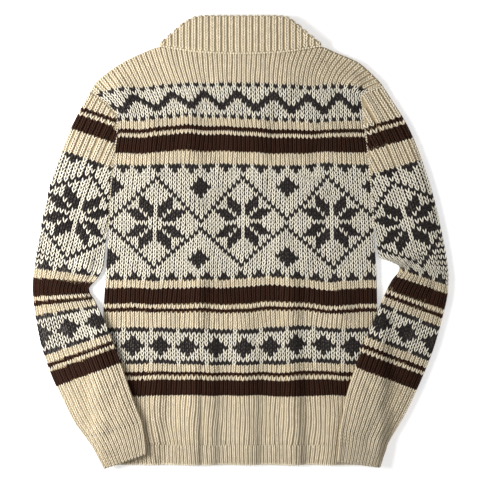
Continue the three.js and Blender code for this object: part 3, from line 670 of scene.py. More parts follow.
# ---- Stitches ----
# Painted light and shade round each ring of a leg: slightly darker at the two sides, lighter on top, much
# darker underneath.
LEG_PAINTED_SHADING = (0.94, 1.04, 0.94, 0.7)
TONE_SPREAD = 0.045
SIZE_SPREAD = 0.05
PLACE_SPREAD = (0.012, 0.035, 0.07)
CELL_LOW = (-0.45, -0.95)
CELL_SIZE = (0.9, 1.9)
CELL_EDGES = (0.04, 0.96)
NEAR_SHARE = 6  # a sixth of a wale to each side gives its direction across
LEAST_PLAIN = 0.3  # share of a course that the last plain stitch needs
LEAST_LOOP = 0.75  # the same for the last loop
STRAIGHT = 3.0  # distance that gives a wale's direction at its lower end
RIB_ROUNDNESS = 0.7
GROOVE_MIX = 0.1
INNER_MIX = 0.4
# Painted shade: how much a plain yarn is darkened on the inner face.
INNER_PAINTED_SHADE = 0.75


@dataclass(frozen=True)
class LegShape:
    """One leg of a knitted loop, a spindle of four sides from tip to tip.

    across and half_width are shares of the wale, along of the course, raised and half_depth millimetres.
    """

    across: tuple[float, ...]
    along: tuple[float, ...]
    raised: tuple[float, ...]
    half_width: tuple[float, ...]
    half_depth: tuple[float, ...]
    # Painted shade at the leg's two tips, where it tucks under its neighbours.
    painted_tip_shade: float = 0.8

    def template(self) -> tuple[Array, Array, list[Array]]:
        """The leg as a pattern to repeat.

        Returns:
            Its points (across, along, raised), a painted shading factor for each, and its faces.
        """
        middle = np.stack([self.across, self.along, self.raised], axis=-1)
        side, up = np.array([(1, 0, -1, 0), (0, 1, 0, -1)])
        spread = stack(np.multiply.outer(self.half_width, side), 0, np.multiply.outer(self.half_depth, up))
        rings = middle[1:-1, None] + spread
        points = np.concatenate([middle[:1], rings.reshape(-1, 3), middle[-1:]])
        painted_shades = np.array([self.painted_tip_shade, *LEG_PAINTED_SHADING * len(rings), self.painted_tip_shade])
        index = grid_index(len(rings), 4, 1, True)
        first = np.stack([0 * index[0, 1:], index[0, :-1], index[0, 1:]], axis=-1)
        last = np.stack([0 * index[0, 1:] + len(points) - 1, index[-1, 1:], index[-1, :-1]], axis=-1)
        return points, painted_shades, [np.stack([first, last], axis=1).reshape(-1, 3), grid_quads(index.T)]


PLAIN_LEG = LegShape(
    across=(0.03, 0.09, 0.20, 0.27, 0.26),
    along=(-0.78, -0.48, -0.05, 0.40, 0.84),
    raised=(0.1, 0.8, 1.25, 0.9, 0.0),
    half_width=(0.11, 0.14, 0.12),
    half_depth=(0.8, 0.95, 0.8),
)
LOOP_LEG = LegShape(
    across=(0.02, 0.10, 0.22, 0.32, 0.36),
    along=(-0.80, -0.50, -0.05, 0.40, 0.80),
    raised=(0.2, 0.85, 1.15, 0.95, 0.2),
    half_width=(0.12, 0.15, 0.13),
    half_depth=(0.75, 0.9, 0.75),
)
UNDER_LEG = LegShape(
    across=(0.03, 0.20, 0.33),
    along=(-0.80, -0.05, 0.85),
    raised=(0.1, 0.42, 0.1),
    half_width=(0.19,),
    half_depth=(0.75,),
)
BEAD_LEG = LegShape(
    across=(0.02, 0.20, 0.24, 0.02),
    along=(-0.62, -0.20, 0.25, 0.66),
    raised=(0.1, 0.9, 1.0, 0.1),
    half_width=(0.24, 0.25),
    half_depth=(0.9, 0.9),
)


@dataclass(frozen=True)
class Gauge:
    """The legs of plain and of two-coloured stitches, and the plain stitches in a course's length."""

    plain: LegShape
    loop: LegShape
    rows: float


RAISED = Gauge(PLAIN_LEG, LOOP_LEG, 1.45)
PRESSED = Gauge(UNDER_LEG, UNDER_LEG, 1)


@dataclass(frozen=True)
class Stitches:
    """Many stitches on a surface, which become one joined mesh.

    surface gives points at shares across and distances along. Each stitch has its share, its distance, its
    length along the wale, its colour, and its column and row on the colour map. pitch is the width of a
    wale as a share.
    """

    surface: Surface
    share: Array
    distance: Array
    pitch: float
    course: Array
    colour: Array
    cell: Array

    def frames(self) -> tuple[Array, ...]:
        """Each stitch's middle, its reach across and along, and its outward direction."""
        share, distance, near, step = self.share, self.distance, self.pitch / NEAR_SHARE, self.course / 2
        here = self.surface(share, distance)
        wide = self.surface(share + near, distance) - self.surface(share - near, distance)
        wide = wide * (NEAR_SHARE / 2)
        along = unit(self.surface(share, distance + step) - self.surface(share, distance - step))
        wide = wide - along * np.sum(wide * along, axis=-1, keepdims=True)
        return here, wide, along * np.reshape(self.course, (-1, 1)), unit(np.cross(wide, along))

    def build(self, name: str, shape: LegShape, seed: int) -> Piece:
        """Joins all the stitches into one piece.

        Args:
            name: the piece's name.
            shape: the form of a leg.
            seed: start of the small unevenness.
        Returns:
            The new piece, with its colours and its own map for baking.
        """
        centre, across, along, normal = (part[:, None] for part in self.frames())
        random = np.random.default_rng(seed)
        count = len(centre)
        template, painted_shades, faces = shape.template()
        tone = 1 + random.normal(0, TONE_SPREAD, (count, 1, 1))
        points, cells, groups = [], [], [[] for _ in faces]
        for half, mirror in enumerate((1, -1)):
            leg = np.repeat(template[None], count, axis=0)
            leg[..., [0, 2]] *= 1 + random.normal(0, SIZE_SPREAD, (count, 1, 1))
            leg += random.normal(0, PLACE_SPREAD, (count, 1, 3))
            leg *= (mirror, 1, 1)
            points.append(centre + leg[..., :1] * across + leg[..., 1:2] * along + leg[..., 2:] * normal)
            cells.append(self.cell[:, None] + np.clip((leg[..., :2] - CELL_LOW) / CELL_SIZE, *CELL_EDGES))
            starts = (half * count + np.arange(count)[:, None, None]) * len(template)
            for group, face in zip(groups, faces):
                group.append((starts + face[:, ::mirror]).reshape(-1, face.shape[1]))
        # Each point's colour: its yarn's, times the leg's painted light and shade and a random tone for the
        # stitch.
        colours = np.tile(self.colour[:, None] * painted_shades[:, None] * tone, (2, 1, 1))
        faces = [np.concatenate(group) for group in groups]
        piece = new_piece(name, np.concatenate(points), faces, colours)
        spread_map(piece, np.concatenate(cells).reshape(-1, 2))
        return piece


def spread_map(piece: Piece, cells: Array) -> None:
    """Gives a piece a flat map on which each stitch has a cell of its own.

    Args:
        piece: the piece.
        cells: place of each point, in cells.
    """
    size = np.ceil(cells.max(axis=0))
    low = np.floor(cells.min(axis=0))
    layer = piece.data.uv_layers.new(name="OFBake")
    index = np.empty(len(piece.data.loops), int)
    piece.data.loops.foreach_get("vertex_index", index)
    layer.data.foreach_set("uv", (((cells - low) / (size - low))[index]).astype(np.float32).ravel())


@dataclass(frozen=True)
class KnitFace:
    """The visible face of a ribbed piece, as stitches.

    surface gives its points at shares across and distances along, and total the length of a wale. turn is
    -1 where the shares run from right to left, seen from outside. tops is the distance left free at the
    end, and over_seam is True where the lowest row reaches over the seam below it.
    """

    surface: Surface
    total: Callable[[Array], Array]
    ribs: int
    pattern: Pattern
    turn: int = 1
    tops: float = 1.2
    over_seam: bool = False
    gauge: Gauge = RAISED
    seam_reach: float = 0.28

    def stitches(self, name: str, low: int, high: int, seed: int) -> list[Piece]:
        """Knits a stretch of the face.

        Args:
            name: start of the pieces' names.
            low: lowest course of the stretch.
            high: the course after its highest.
            seed: start of the small unevenness.
        Returns:
            The plain ribs and, where there are any, the two-coloured loops, one piece each.
        """
        plain, loops = [], []
        courses = np.arange(low, high)
        for number, end in enumerate(self.total((np.arange(self.ribs) + 0.5) / self.ribs)):
            top = (end - self.tops) / COURSE
            course = courses[courses + LEAST_PLAIN < top]
            if not len(course):
                continue
            yarn = self.pattern.yarn(number, course)
            coloured = yarn >= CHARCOAL
            looped = coloured & (course + LEAST_LOOP < top)
            loops.append(stack(number, course[looped] + 0.5, 1, yarn[looped]))
            changes = np.flatnonzero(np.diff(yarn, prepend=-1, append=-1))
            for first, after in zip(changes[:-1], changes[1:]):
                if coloured[first]:
                    continue
                on_seam = self.over_seam and course[first] == 0
                start = -self.seam_reach if on_seam else float(course[first])
                stop = min(course[after - 1] + 1, top)
                count = max(1, round((stop - start) * self.gauge.rows))
                step = (stop - start) / count
                plain.append(stack(number, start + (np.arange(count) + 0.5) * step, step, yarn[first]))
        kinds = ((plain, "ribs", self.gauge.plain), (loops, "loops", self.gauge.loop))
        return [
            self._lay(np.concatenate(rows)).build(f"{name}_{kind}", shape, seed + k)
            for k, (rows, kind, shape) in enumerate(kinds) if sum(map(len, rows))
        ]

    def _lay(self, rows: Array) -> Stitches:
        """Lays stitches on the face, each one given by its wale, place and length in courses, and yarn."""
        number, place, step, yarn = rows.T
        return Stitches(self._face, (number + 0.5) / self.ribs, place * COURSE, self.turn / self.ribs,
                        step * COURSE, COLOURS[yarn.astype(int)], stack(number, np.floor(place * 2) + 1))

    def _face(self, share: Array, distance: Array) -> Array:
        """Points of the face, carried on straight past its lower end."""
        held = np.maximum(distance, 0)
        here = self.surface(share, held)
        past = np.minimum(distance, 0)[..., None]
        if not past.any():
            return here
        return here + past / STRAIGHT * (self.surface(share, held + STRAIGHT) - here)


@dataclass(frozen=True)
class Chain:
    """A row of plump loops that lie one after another along a seam or an edge.

    line gives points at a share across the row and a distance along it, and side is 1 or -1 for the
    direction that the shares run in, seen along the row: 1 from its right to its left.
    """

    name: str
    line: Surface
    length: float
    loops: int
    side: int = 1
    # tone lightens the cream of the loops: a painted highlight on the raised loops.
    tone: float = 1.1

    def build(self, seed: int) -> Piece:
        """Builds the loops as one piece."""
        step = self.length / self.loops
        number = np.arange(self.loops)
        # The cream, lightened by tone as a painted highlight.
        colour = np.broadcast_to(COLOURS[CREAM] * self.tone, (self.loops, 3))
        middle, place = np.full(self.loops, 0.5), (number + 0.5) * step
        chain = Stitches(self.line, middle, place, -self.side, step, colour, stack(number, 0))
        piece = chain.build(self.name, BEAD_LEG, seed)
        dress(piece, WOOL)
        log.info("%s: %d loops", self.name, self.loops)
        return piece


def ground_colours(yarn: Array) -> Array:
    """Colours of the shell behind the stitches: the yarn darkened in the grooves as painted shade, and the
    other yarn behind a motif.
    """
    behind = COLOURS[yarn] * GROOVE_PAINTED_SHADE
    behind[yarn == MARL] = COLOURS[CHARCOAL]
    behind[yarn == CHARCOAL] = mix(COLOURS[CHARCOAL], COLOURS[MARL], GROOVE_MIX)
    return behind


def inner_colours(yarn: Array) -> Array:
    """Colours of a piece's inner face: its yarn darkened as painted shade, and where a motif is, both of
    its yarns mixed as they run along.
    """
    inside = COLOURS[yarn] * INNER_PAINTED_SHADE
    inside[yarn >= CHARCOAL] = mix(COLOURS[CHARCOAL], COLOURS[MARL], INNER_MIX)
    return inside


def rib_hump(share: Array, ribs: int, height: float) -> Array:
    """Height of the ribs over the groove at shares across."""
    wave = np.abs(np.sin(math.pi * share * ribs))
    return height * wave**RIB_ROUNDNESS


# ---- Finishes ----
def tint(colour: tuple[float, ...], share: float) -> tuple[float, ...]:
    """A darker or lighter tone of a colour."""
    return tuple(part * share for part in colour)


class Nodes:
    """A material's node tree, built a node at a time."""

    def __init__(self, name: str) -> None:
        """Starts an empty material with a principled surface."""
        self.material = bpy.data.materials.new(name)
        self.material.use_nodes = True
        self.tree = self.material.node_tree
        self.surface = self.tree.nodes["Principled BSDF"]

    def add(self, kind: str, **settings) -> bpy.types.Node:
        """Adds a node.

        Args:
            kind: the node's type without its ShaderNode prefix.
            settings: its properties, or its inputs by name with spaces written as underscores.
        Returns:
            The node.
        """
        node = self.tree.nodes.new(f"ShaderNode{kind}")
        for key, value in settings.items():
            if hasattr(node, key):
                setattr(node, key, value)
            else:
                node.inputs[key.replace("_", " ")].default_value = value
        return node

    def link(self, source: bpy.types.NodeSocket, target: bpy.types.NodeSocket) -> None:
        """Joins two sockets."""
        self.tree.links.new(source, target)

    def set(self, **values) -> None:
        """Sets numbers and colours on the surface's own sockets."""
        for key, value in values.items():
            self.surface.inputs[key.replace("_", " ")].default_value = value

    def noise(self, scale: float, detail: float = 2.0) -> bpy.types.Node:
        """Adds an even noise on the piece's own coordinates."""
        place = self.add("TexCoord")
        noise = self.add("TexNoise", Scale=scale, Detail=detail)
        self.link(place.outputs["Object"], noise.inputs["Vector"])
        return noise

    def ramp(self, source: bpy.types.NodeSocket, colours: tuple, places: tuple = (0.0, 1.0)) -> None:
        """Colours the surface with two colours.

        Args:
            source: the number that chooses between them.
            colours: the first and the second colour.
            places: the numbers where the first one ends and the second one starts.
        """
        ramp = self.add("ValToRGB")
        for element, colour, place in zip(ramp.color_ramp.elements, colours, places):
            element.color = (*colour, 1)
            element.position = place
        self.link(source, ramp.inputs["Fac"])
        self.link(ramp.outputs["Color"], self.surface.inputs["Base Color"])

    def bump(self, height: bpy.types.NodeSocket, strength: float, distance: float) -> None:
        """Adds a bump to the surface.

        Args:
            height: the number that stands for height.
            strength: how much of it is used.
            distance: height of the bump in metres.
        """
        bump = self.add("Bump", Strength=strength, Distance=distance)
        self.link(height, bump.inputs["Height"])
        self.link(bump.outputs["Normal"], self.surface.inputs["Normal"])


@dataclass(frozen=True)
class WoolFinish:
    """Spun wool that takes its colour from the stitches, with a soft nap."""

    name: str
    heather: float = 0.22

    def make(self) -> bpy.types.Material:
        """Builds the material."""
        nodes = Nodes(self.name)
        colour = nodes.add("Attribute", attribute_name="yarn")
        fleck = nodes.noise(620, 3)
        range_node = nodes.add("MapRange", To_Min=1 - self.heather, To_Max=1 + self.heather * 0.6)
        nodes.link(fleck.outputs["Fac"], range_node.inputs["Value"])
        mixed = nodes.add("VectorMath", operation="SCALE")
        nodes.link(colour.outputs["Color"], mixed.inputs["Vector"])
        nodes.link(range_node.outputs["Result"], mixed.inputs["Scale"])
        nodes.link(mixed.outputs["Vector"], nodes.surface.inputs["Base Color"])
        nodes.set(Roughness=0.92, Sheen_Weight=0.02, Sheen_Roughness=0.6, Specular_IOR_Level=0.05)
        fibre = nodes.noise(2400, 3)
        nodes.bump(fibre.outputs["Fac"], strength=0.45, distance=0.0005)
        return nodes.material


@dataclass(frozen=True)
class MetalFinish:
    """Worn metal with a rubbed, slightly uneven gloss."""

    name: str
    colour: tuple[float, float, float]
    roughness: float = 0.3

    def make(self) -> bpy.types.Material:
        """Builds the material."""
        nodes = Nodes(self.name)
        wear = nodes.noise(900, 4)
        nodes.ramp(wear.outputs["Fac"], (tint(self.colour, 0.55), self.colour), (0.32, 0.55))
        rough = nodes.add("MapRange", To_Min=self.roughness + 0.2, To_Max=self.roughness - 0.08)
        nodes.link(wear.outputs["Fac"], rough.inputs["Value"])
        nodes.link(rough.outputs["Result"], nodes.surface.inputs["Roughness"])
        nodes.set(Metallic=1.0)
        nodes.bump(nodes.noise(3200, 2).outputs["Fac"], strength=0.15, distance=0.0002)
        return nodes.material


@dataclass(frozen=True)
class TapeFinish:
    """Woven zip tape: a fine twill across its length, its colour darker in the twill's hollows and lighter
    on its ridges as painted shade and highlight.
    """

    name: str
    colour: tuple[float, float, float]

    def make(self) -> bpy.types.Material:
        """Builds the material."""
        nodes = Nodes(self.name)
        place = nodes.add("TexCoord")
        twill = nodes.add("TexWave", bands_direction="DIAGONAL", Scale=260, Distortion=0.6, Detail=1.0)
        nodes.link(place.outputs["Object"], twill.inputs["Vector"])
        # Painted shade and highlight: the colour follows the same wave as the bump.
        nodes.ramp(twill.outputs["Fac"], (tint(self.colour, 0.6), tint(self.colour, 1.25)))
        nodes.set(Roughness=0.85, Sheen_Weight=0.1)
        nodes.bump(twill.outputs["Fac"], strength=0.5, distance=0.0003)
        return nodes.material


@dataclass(frozen=True)
class PaperFinish:
    """The pale, even floor, lit from within like a light table."""

    name: str
    tone: float
    glow: float

    def make(self) -> bpy.types.Material:
        """Builds the material."""
        nodes = Nodes(self.name)
        nodes.set(Base_Color=(self.tone, self.tone, self.tone, 1), Roughness=0.9)
        nodes.set(Emission_Color=(1, 1, 1, 1), Emission_Strength=self.glow)
        return nodes.material


WOOL = WoolFinish("knitting_wool").make()
GROUND_WOOL = WoolFinish("ground_wool", heather=0.3).make()
BRASS = MetalFinish("zip_brass", (0.56, 0.42, 0.19)).make()
TAPE = TapeFinish("zip_tape", (0.085, 0.055, 0.04)).make()


def paint(piece: Piece, material: bpy.types.Material) -> None:
    """Gives a piece its one material."""
    piece.data.materials.clear()
    piece.data.materials.append(material)


def dress(piece: Piece, material: bpy.types.Material) -> None:
    """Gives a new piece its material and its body."""
    paint(piece, material)
    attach(piece, "cardigan")


def finish_wool(shell: Piece, extras: list[Piece], node: str) -> None:
    """Rides and dresses a knitted piece with all its stitches.

    Args:
        shell: the thin shell that stands for the node.
        extras: the stitches on it.
        node: name of the CAD node.
    """
    dress(shell, GROUND_WOOL)
    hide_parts(node)
    for extra in extras:
        dress(extra, WOOL)
    faces = sum(len(piece.data.polygons) for piece in (shell, *extras))
    log.info("%s: %d faces in %d pieces", node, faces, 1 + len(extras))


# ---- Back, hem band and fronts ----
BACK_PARTS = (("lower", 0, 41), ("middle", 41, 70), ("upper", 70, TOP_COURSE))
HEM_LENGTH = HEM_SEAM - GAP - HEM_END
STITCH_BED = 0.3  # height of the back's stitches over the groove
HEM_DIP, HEM_DIP_RUN, HEM_DIP_BELOW = 0.9, 7, 1
# Each wave has its height, its turn for each millimetre along x and y, and its start.
SIDE_WAVES = ((1, 0.031, 0.043, 1.3), (0.45, 0.17, 0.09, 2.2))
LENGTH_WAVES = ((1, 0.047, 0.021, 0), (0.5, 0.11, -0.013, 1.1))


def hem_total(share: Array) -> Array:
    """Length of the hem band at every share across."""
    return np.full(np.shape(share), HEM_LENGTH)


def hem_dip(y: Array) -> Array:
    """How far the ribs are drawn in where the hem band joins."""
    return HEM_DIP * (1 - ease(np.abs(y - HEM_SEAM + HEM_DIP_BELOW) / HEM_DIP_RUN))


def wavy(waves: tuple[tuple[float, ...], ...], x: Array, y: Array) -> Array:
    """Sum of waves at points of the plan."""
    return sum(height * np.sin(turn_x * x + turn_y * y + start) for height, turn_x, turn_y, start in waves)


def sway(x: Array, y: Array) -> tuple[Array, Array]:
    """How far the soft cloth has shifted sideways and lengthways at points of the plan."""
    free = Layers.open_share(x, y)
    side, length = wavy(SIDE_WAVES, x, y), wavy(LENGTH_WAVES, x, y)
    for pull in BODY_PULLS:
        share = pull.share(x, y)
        side = side + pull.aside * share
        length = length + pull.up * share
    return side * free, length * free


def yoke_edge(side: str, f: Array) -> tuple[Array, Array]:
    """Point on a side edge of the yoke, from its lowest course to the shoulder point."""
    return YOKE_EDGES.read(f"{side}X", f), YOKE_EDGES.read(f"{side}Y", f)


class YokedPanel:
    """A panel from the hem seam to the shoulders and neck.

    Its between gives x at a share across and a y, upper the points of its upper edge, and edges the yoke's
    left and right edges at a share up.
    """

    def measure(self) -> CourseMap:
        """Measures the wales."""
        return CourseMap(lambda s, v: run_length(stack(*self.plan(s, v))), 0.0, 2.0)

    def plan(self, s: Array, v: Array) -> tuple[Array, Array]:
        """Plan at a share across; v runs 0 to 1 up to the yoke and 1 to 2 up the yoke."""
        s, v = np.broadcast_arrays(s, v)
        y, f = mix(HEM_SEAM, YOKE, np.minimum(v, 1)), np.clip(v - 1, 0, 1)
        low, high = (self.between(s, YOKE), float(YOKE)), self.upper(s)
        yoke = [mix(low[axis], high[axis], f) for axis in (0, 1)]
        for edge, weight in zip(self.edges(), ((1 - s) ** 3, s**3)):
            for axis, (start, end, here) in enumerate(zip(edge(0.0), edge(1.0), edge(f))):
                yoke[axis] = yoke[axis] + weight * (here - mix(start, end, f))
        return np.where(v <= 1, self.between(s, y), yoke[0]), np.where(v <= 1, y, yoke[1])


@dataclass
class BackSheet:
    """A ribbed sheet of the back."""

    ribs: int = BACK_RIBS
    columns: int = 4
    groove: float = WALL - GROOVE_IN
    hump: float = 1.0
    edge_wall: float = 1.4
    edge_share: float = 0.6

    @staticmethod
    def between(s: Array, y: Array) -> Array:
        """The place at a share from the left side to the right."""
        return mix(OUTLINE.read("left", y), OUTLINE.read("right", y), s)

    def height(self, x: Array, y: Array, s: Array) -> Array:
        """Height of the groove between two ribs."""
        seam = ease(np.minimum(s, 1 - s) * self.ribs / self.edge_share)
        return Layers.back_inside(x, y) + mix(self.edge_wall, self.groove, seam) - hem_dip(y)

    def top(self, s: Array, distance: Array) -> Array:
        """Points of the face that the stitches lie on."""
        x, y = self.place(s, distance)
        return stack(x, y, self.height(x, y, s) + STITCH_BED)

    def wall(self, s: Array, distance: Array) -> tuple[Array, list[Array]]:
        """Points and faces of the shell, at shares across and distances along."""
        x, y = self.place(s, distance)
        outer = stack(x, y, self.height(x, y, s) + rib_hump(s, self.ribs, self.hump))
        return closed_wall(outer, stack(x, y, Layers.back_inside(x, y))[:, :: self.columns])

    @property
    def shares(self) -> Array:
        """Shares across of the columns of points."""
        return shares_across("left", self.ribs * self.columns + 1)


@dataclass
class BackPanel(BackSheet, YokedPanel):
    """The back, from the hem seam to the shoulders and neck."""

    rows: int = 151
    seam_run: float = 30
    inner_bed: float = 0.2

    def __post_init__(self) -> None:
        """Measures the wales."""
        self.courses = self.measure()

    def upper(self, s: Array) -> tuple[Array, Array]:
        """Points of the upper edge."""
        return TOP.read("x", s), TOP.read("y", s)

    def edges(self) -> tuple[Callable, Callable]:
        """The yoke's left and right edges."""
        return partial(yoke_edge, "left"), partial(yoke_edge, "right")

    def place(self, s: Array, distance: Array) -> tuple[Array, Array]:
        """Plan at a distance along a wale, with the cloth's sway."""
        x, y = self.plan(s, self.courses.find(s, distance))
        side, length = sway(x, y)
        return x + side, y + length * ease(distance / self.seam_run)

    def inside(self, s: Array, distance: Array) -> Array:
        """Points of the inner face, which shows through the neck."""
        x, y = self.place(s, distance)
        return stack(x, y, Layers.back_inside(x, y) + self.inner_bed)

    def build(self) -> None:
        """Builds the shell and its stitches."""
        s, total = self.shares, self.courses.total
        distance = np.linspace(0, 1, self.rows)[:, None] * total(s)
        points, faces = self.wall(s, distance)
        yarn = BODY_PATTERN.at(self.ribs, s, (distance + total(s) / (self.rows - 1) / 2) / COURSE)
        colours = (ground_colours(yarn), inner_colours(yarn)[:, :: self.columns])
        joined = np.concatenate([part.reshape(-1, 3) for part in colours])
        shell = new_piece("back_panel", points, faces, joined, True)
        face = KnitFace(self.top, total, self.ribs, BODY_PATTERN, over_seam=True)
        extras = []
        for part, (name, low, high) in enumerate(BACK_PARTS):
            extras += face.stitches(f"back_{name}", low, high, seed=10 + part)
        inside = KnitFace(self.inside, total, self.ribs, PLAIN_PATTERN, -1, gauge=PRESSED)
        extras += inside.stitches("back_inside_neck", NECK_COURSE, TOP_COURSE, seed=15)
        finish_wool(shell, extras, "back")


@dataclass
class BackHem(BackSheet):
    """The rib hem band of the back."""

    ribs: int = BACK_RIBS + 6
    rows: int = 9
    groove: float = WALL - 0.4
    hump: float = 0.8
    calm: float = 0.5
    edge_in: float = 1.5
    edge_width: float = 2.6
    edge_up: float = 0.5

    def place(self, s: Array, distance: Array) -> tuple[Array, Array]:
        """Plan at a distance up from the lower edge."""
        s, down = np.broadcast_arrays(s, HEM_LENGTH - distance)
        y = HEM_SEAM - GAP - down
        x = self.between(s, y)
        side, _ = sway(x, np.full_like(y, HEM_SEAM))
        return x + side * (1 - self.calm * down / HEM_LENGTH), y

    def build(self) -> None:
        """Builds the shell, its stitches and its chained edge."""
        points, faces = self.wall(self.shares, np.linspace(0, HEM_LENGTH, self.rows)[:, None])
        # The hem band's shell is cream in painted groove shade.
        shell = new_piece("back_hem_band", points, faces, PAINTED_SHADE_CREAM)
        face = KnitFace(self.top, hem_total, self.ribs, PLAIN_PATTERN, tops=0.0)
        finish_wool(shell, face.stitches("back_hem", 0, 6, seed=20), "hem_back")
        wide = float(self.between(1, HEM_END) - self.between(0, HEM_END)) - 2 * self.edge_in
        Chain("back_hem_edge", self.edge, wide, self.ribs * 2, tone=1.0).build(seed=26)

    def edge(self, share: Array, distance: Array) -> Array:
        """Points of the chained lower edge, at a distance from its left end."""
        share, distance = np.broadcast_arrays(share, distance)
        x = OUTLINE.read("left", HEM_END) + self.edge_in + distance
        y = HEM_END + self.edge_in + (share - 0.5) * self.edge_width
        return stack(x, y, Layers.back_inside(x, y) + self.groove + self.edge_up)


@dataclass
class FrontPanel(YokedPanel):
    """A front, face down, with its stitches on the side that rests."""

    side: str
    ribs: int = BACK_RIBS // 2
    columns: int = 2
    neck_column: float = 0.5
    roll: float = 0.9
    roll_share: int = 18

    def __post_init__(self) -> None:
        """Measures the wales."""
        self.sign = SIGN[self.side]
        self.courses = self.measure()

    def between(self, s: Array, y: Array) -> Array:
        """The place at a share from the side seam to the front edge."""
        return mix(OUTLINE.read(self.side, y), self.sign * ZIP_EDGE, s)

    def upper(self, s: Array) -> tuple[Array, Array]:
        """Points of the upper edge: the shoulder, then the neck."""
        share = np.minimum(s / self.neck_column, 1)
        rib = share * NECK_LEFT if self.side == "left" else 1 - share * (1 - NECK_RIGHT)
        past = np.clip((s - self.neck_column) / (1 - self.neck_column), 0, 1)
        neck_x = mix(Layers.shoulder_neck[0], ZIP_EDGE, past)
        on_neck = s >= self.neck_column
        return (np.where(on_neck, self.sign * neck_x, TOP.read("x", rib)),
                np.where(on_neck, Layers.neck_seam(neck_x), TOP.read("y", rib)))

    def edges(self) -> tuple[Callable, Callable]:
        """The yoke's side edge and its front edge beside the zip."""
        return partial(yoke_edge, self.side), self._middle

    def _middle(self, f: Array) -> tuple[Array, Array]:
        """The front edge up the yoke."""
        return np.full(np.shape(f), self.sign * ZIP_EDGE), mix(YOKE, Layers.front_neck, f)

    def body(self, s: Array, distance: Array) -> tuple[Array, Array]:
        """Plan of the panel at a distance up from the hem seam."""
        return self.plan(s, self.courses.find(s, distance))

    def hem(self, s: Array, distance: Array) -> tuple[Array, Array]:
        """Plan of the hem band at a distance up from its lower edge."""
        s, y = np.broadcast_arrays(s, HEM_END + distance)
        return self.between(s, y), y

    def build(self) -> None:
        """Builds the panel and its hem band."""
        total = self.courses.total
        self._panel(f"front_{self.side}", self.body, total, BODY_PATTERN, 151, (0.225, 0.66), 0.136)
        self._panel(f"hem_front_{self.side}", self.hem, hem_total, PLAIN_PATTERN, 6, (0.218, 0.035))

    def _panel(self, node: str, plan: Callable, total: Callable, pattern: Pattern, rows: int,
               flat: tuple[float, float], area: float | None = None) -> None:
        """Builds one flat knitted sheet, with its stitches on the side that rests.

        Args:
            node: name of the CAD node.
            plan: gives the plan at a share across and a distance up.
            total: gives the length of a wale.
            pattern: the colours.
            rows: rows of points.
            flat: width and length that it was knitted to, in metres; not used.
            area: its flat area where it isn't a rectangle; not used.
        """
        s = shares_across(self.side, self.ribs * self.columns + 1)
        distance = np.linspace(0, 1, rows)[:, None] * total(s)
        x, y = plan(s, distance)
        low = Layers.lift(x, y)
        roll = self.roll * (1 - ease(np.minimum(s, 1 - s) * self.roll_share))
        upper = stack(x, y, low + FLAT - roll * 0.5)
        lower = stack(x, y, low + PRESSED_BED + roll * 0.2)
        points, faces = closed_wall(upper, lower)
        yarn = pattern.at(self.ribs, s, (distance + total(s) / (rows - 1) / 2) / COURSE)
        colours = np.concatenate([ground_colours(yarn)] * 2)
        shell = new_piece(f"{node}_shell", points, faces, colours, True)

        def under(q: Array, distance: Array) -> Array:
            """Points of the face that the stitches hang from."""
            x, y = plan(np.clip(q, 0, 1), distance)
            return stack(x, y, Layers.lift(x, y) + PRESSED_BED)

        over_seam = plan == self.body
        knit = KnitFace(under, total, self.ribs, pattern, self.sign, over_seam=over_seam, gauge=PRESSED)
        finish_wool(shell, knit.stitches(node, 0, TOP_COURSE, seed=80), node)


# ---- Sleeves and cuffs ----
EDGE_HEIGHT = FLAT + 0.25
SHOULDER_SHARE = 0.4


def body_edge(side: str, e: Array) -> tuple[Array, Array]:
    """The body's edge that a sleeve is sewn to, from the shoulder point to the underarm."""
    above = e < SHOULDER_SHARE
    high = yoke_edge(side, np.clip(1 - e / SHOULDER_SHARE, 0, 1))
    y = mix(YOKE, UNDERARM, np.clip((e - SHOULDER_SHARE) / (1 - SHOULDER_SHARE), 0, 1))
    return np.where(above, high[0], OUTLINE.read(side, y)), np.where(above, high[1], y)


@dataclass
class Armhole:
    """The linked seam between the back and a sleeve."""

    side: str
    width: float = 3.0
    rise: float = 3.0
    loop: float = 4.4
    clear: float = 0.6
    near: float = 0.01
    samples: int = 400

    def __post_init__(self) -> None:
        """Measures the seam from the shoulder point down."""
        self.sign = SIGN[self.side]
        self.marks = np.linspace(0, 1, self.samples)
        self.distance = run_length(stack(*body_edge(self.side, self.marks)))

    def line(self, q: Array, distance: Array) -> Array:
        """Points along the seam, q from the sleeve's side to the back's."""
        e = np.interp(distance, self.distance, self.marks)
        x, y = body_edge(self.side, e)
        ahead, behind = (stack(*body_edge(self.side, np.clip(e + step, 0, 1)))
                         for step in (self.near, -self.near))
        along = self.sign * unit(ahead - behind)
        away = self.clear - (q - 0.5) * self.width
        height = Layers.back_inside(x, y) + self.rise
        return stack(x - away * along[..., 1], y + away * along[..., 0], height)

    def build(self) -> None:
        """Builds the loops of the seam."""
        total = float(self.distance[-1])
        loops = round(total / self.loop)
        Chain(f"armhole_link_{self.side}", self.line, total, loops, -self.sign, tone=1.05).build(seed=70)


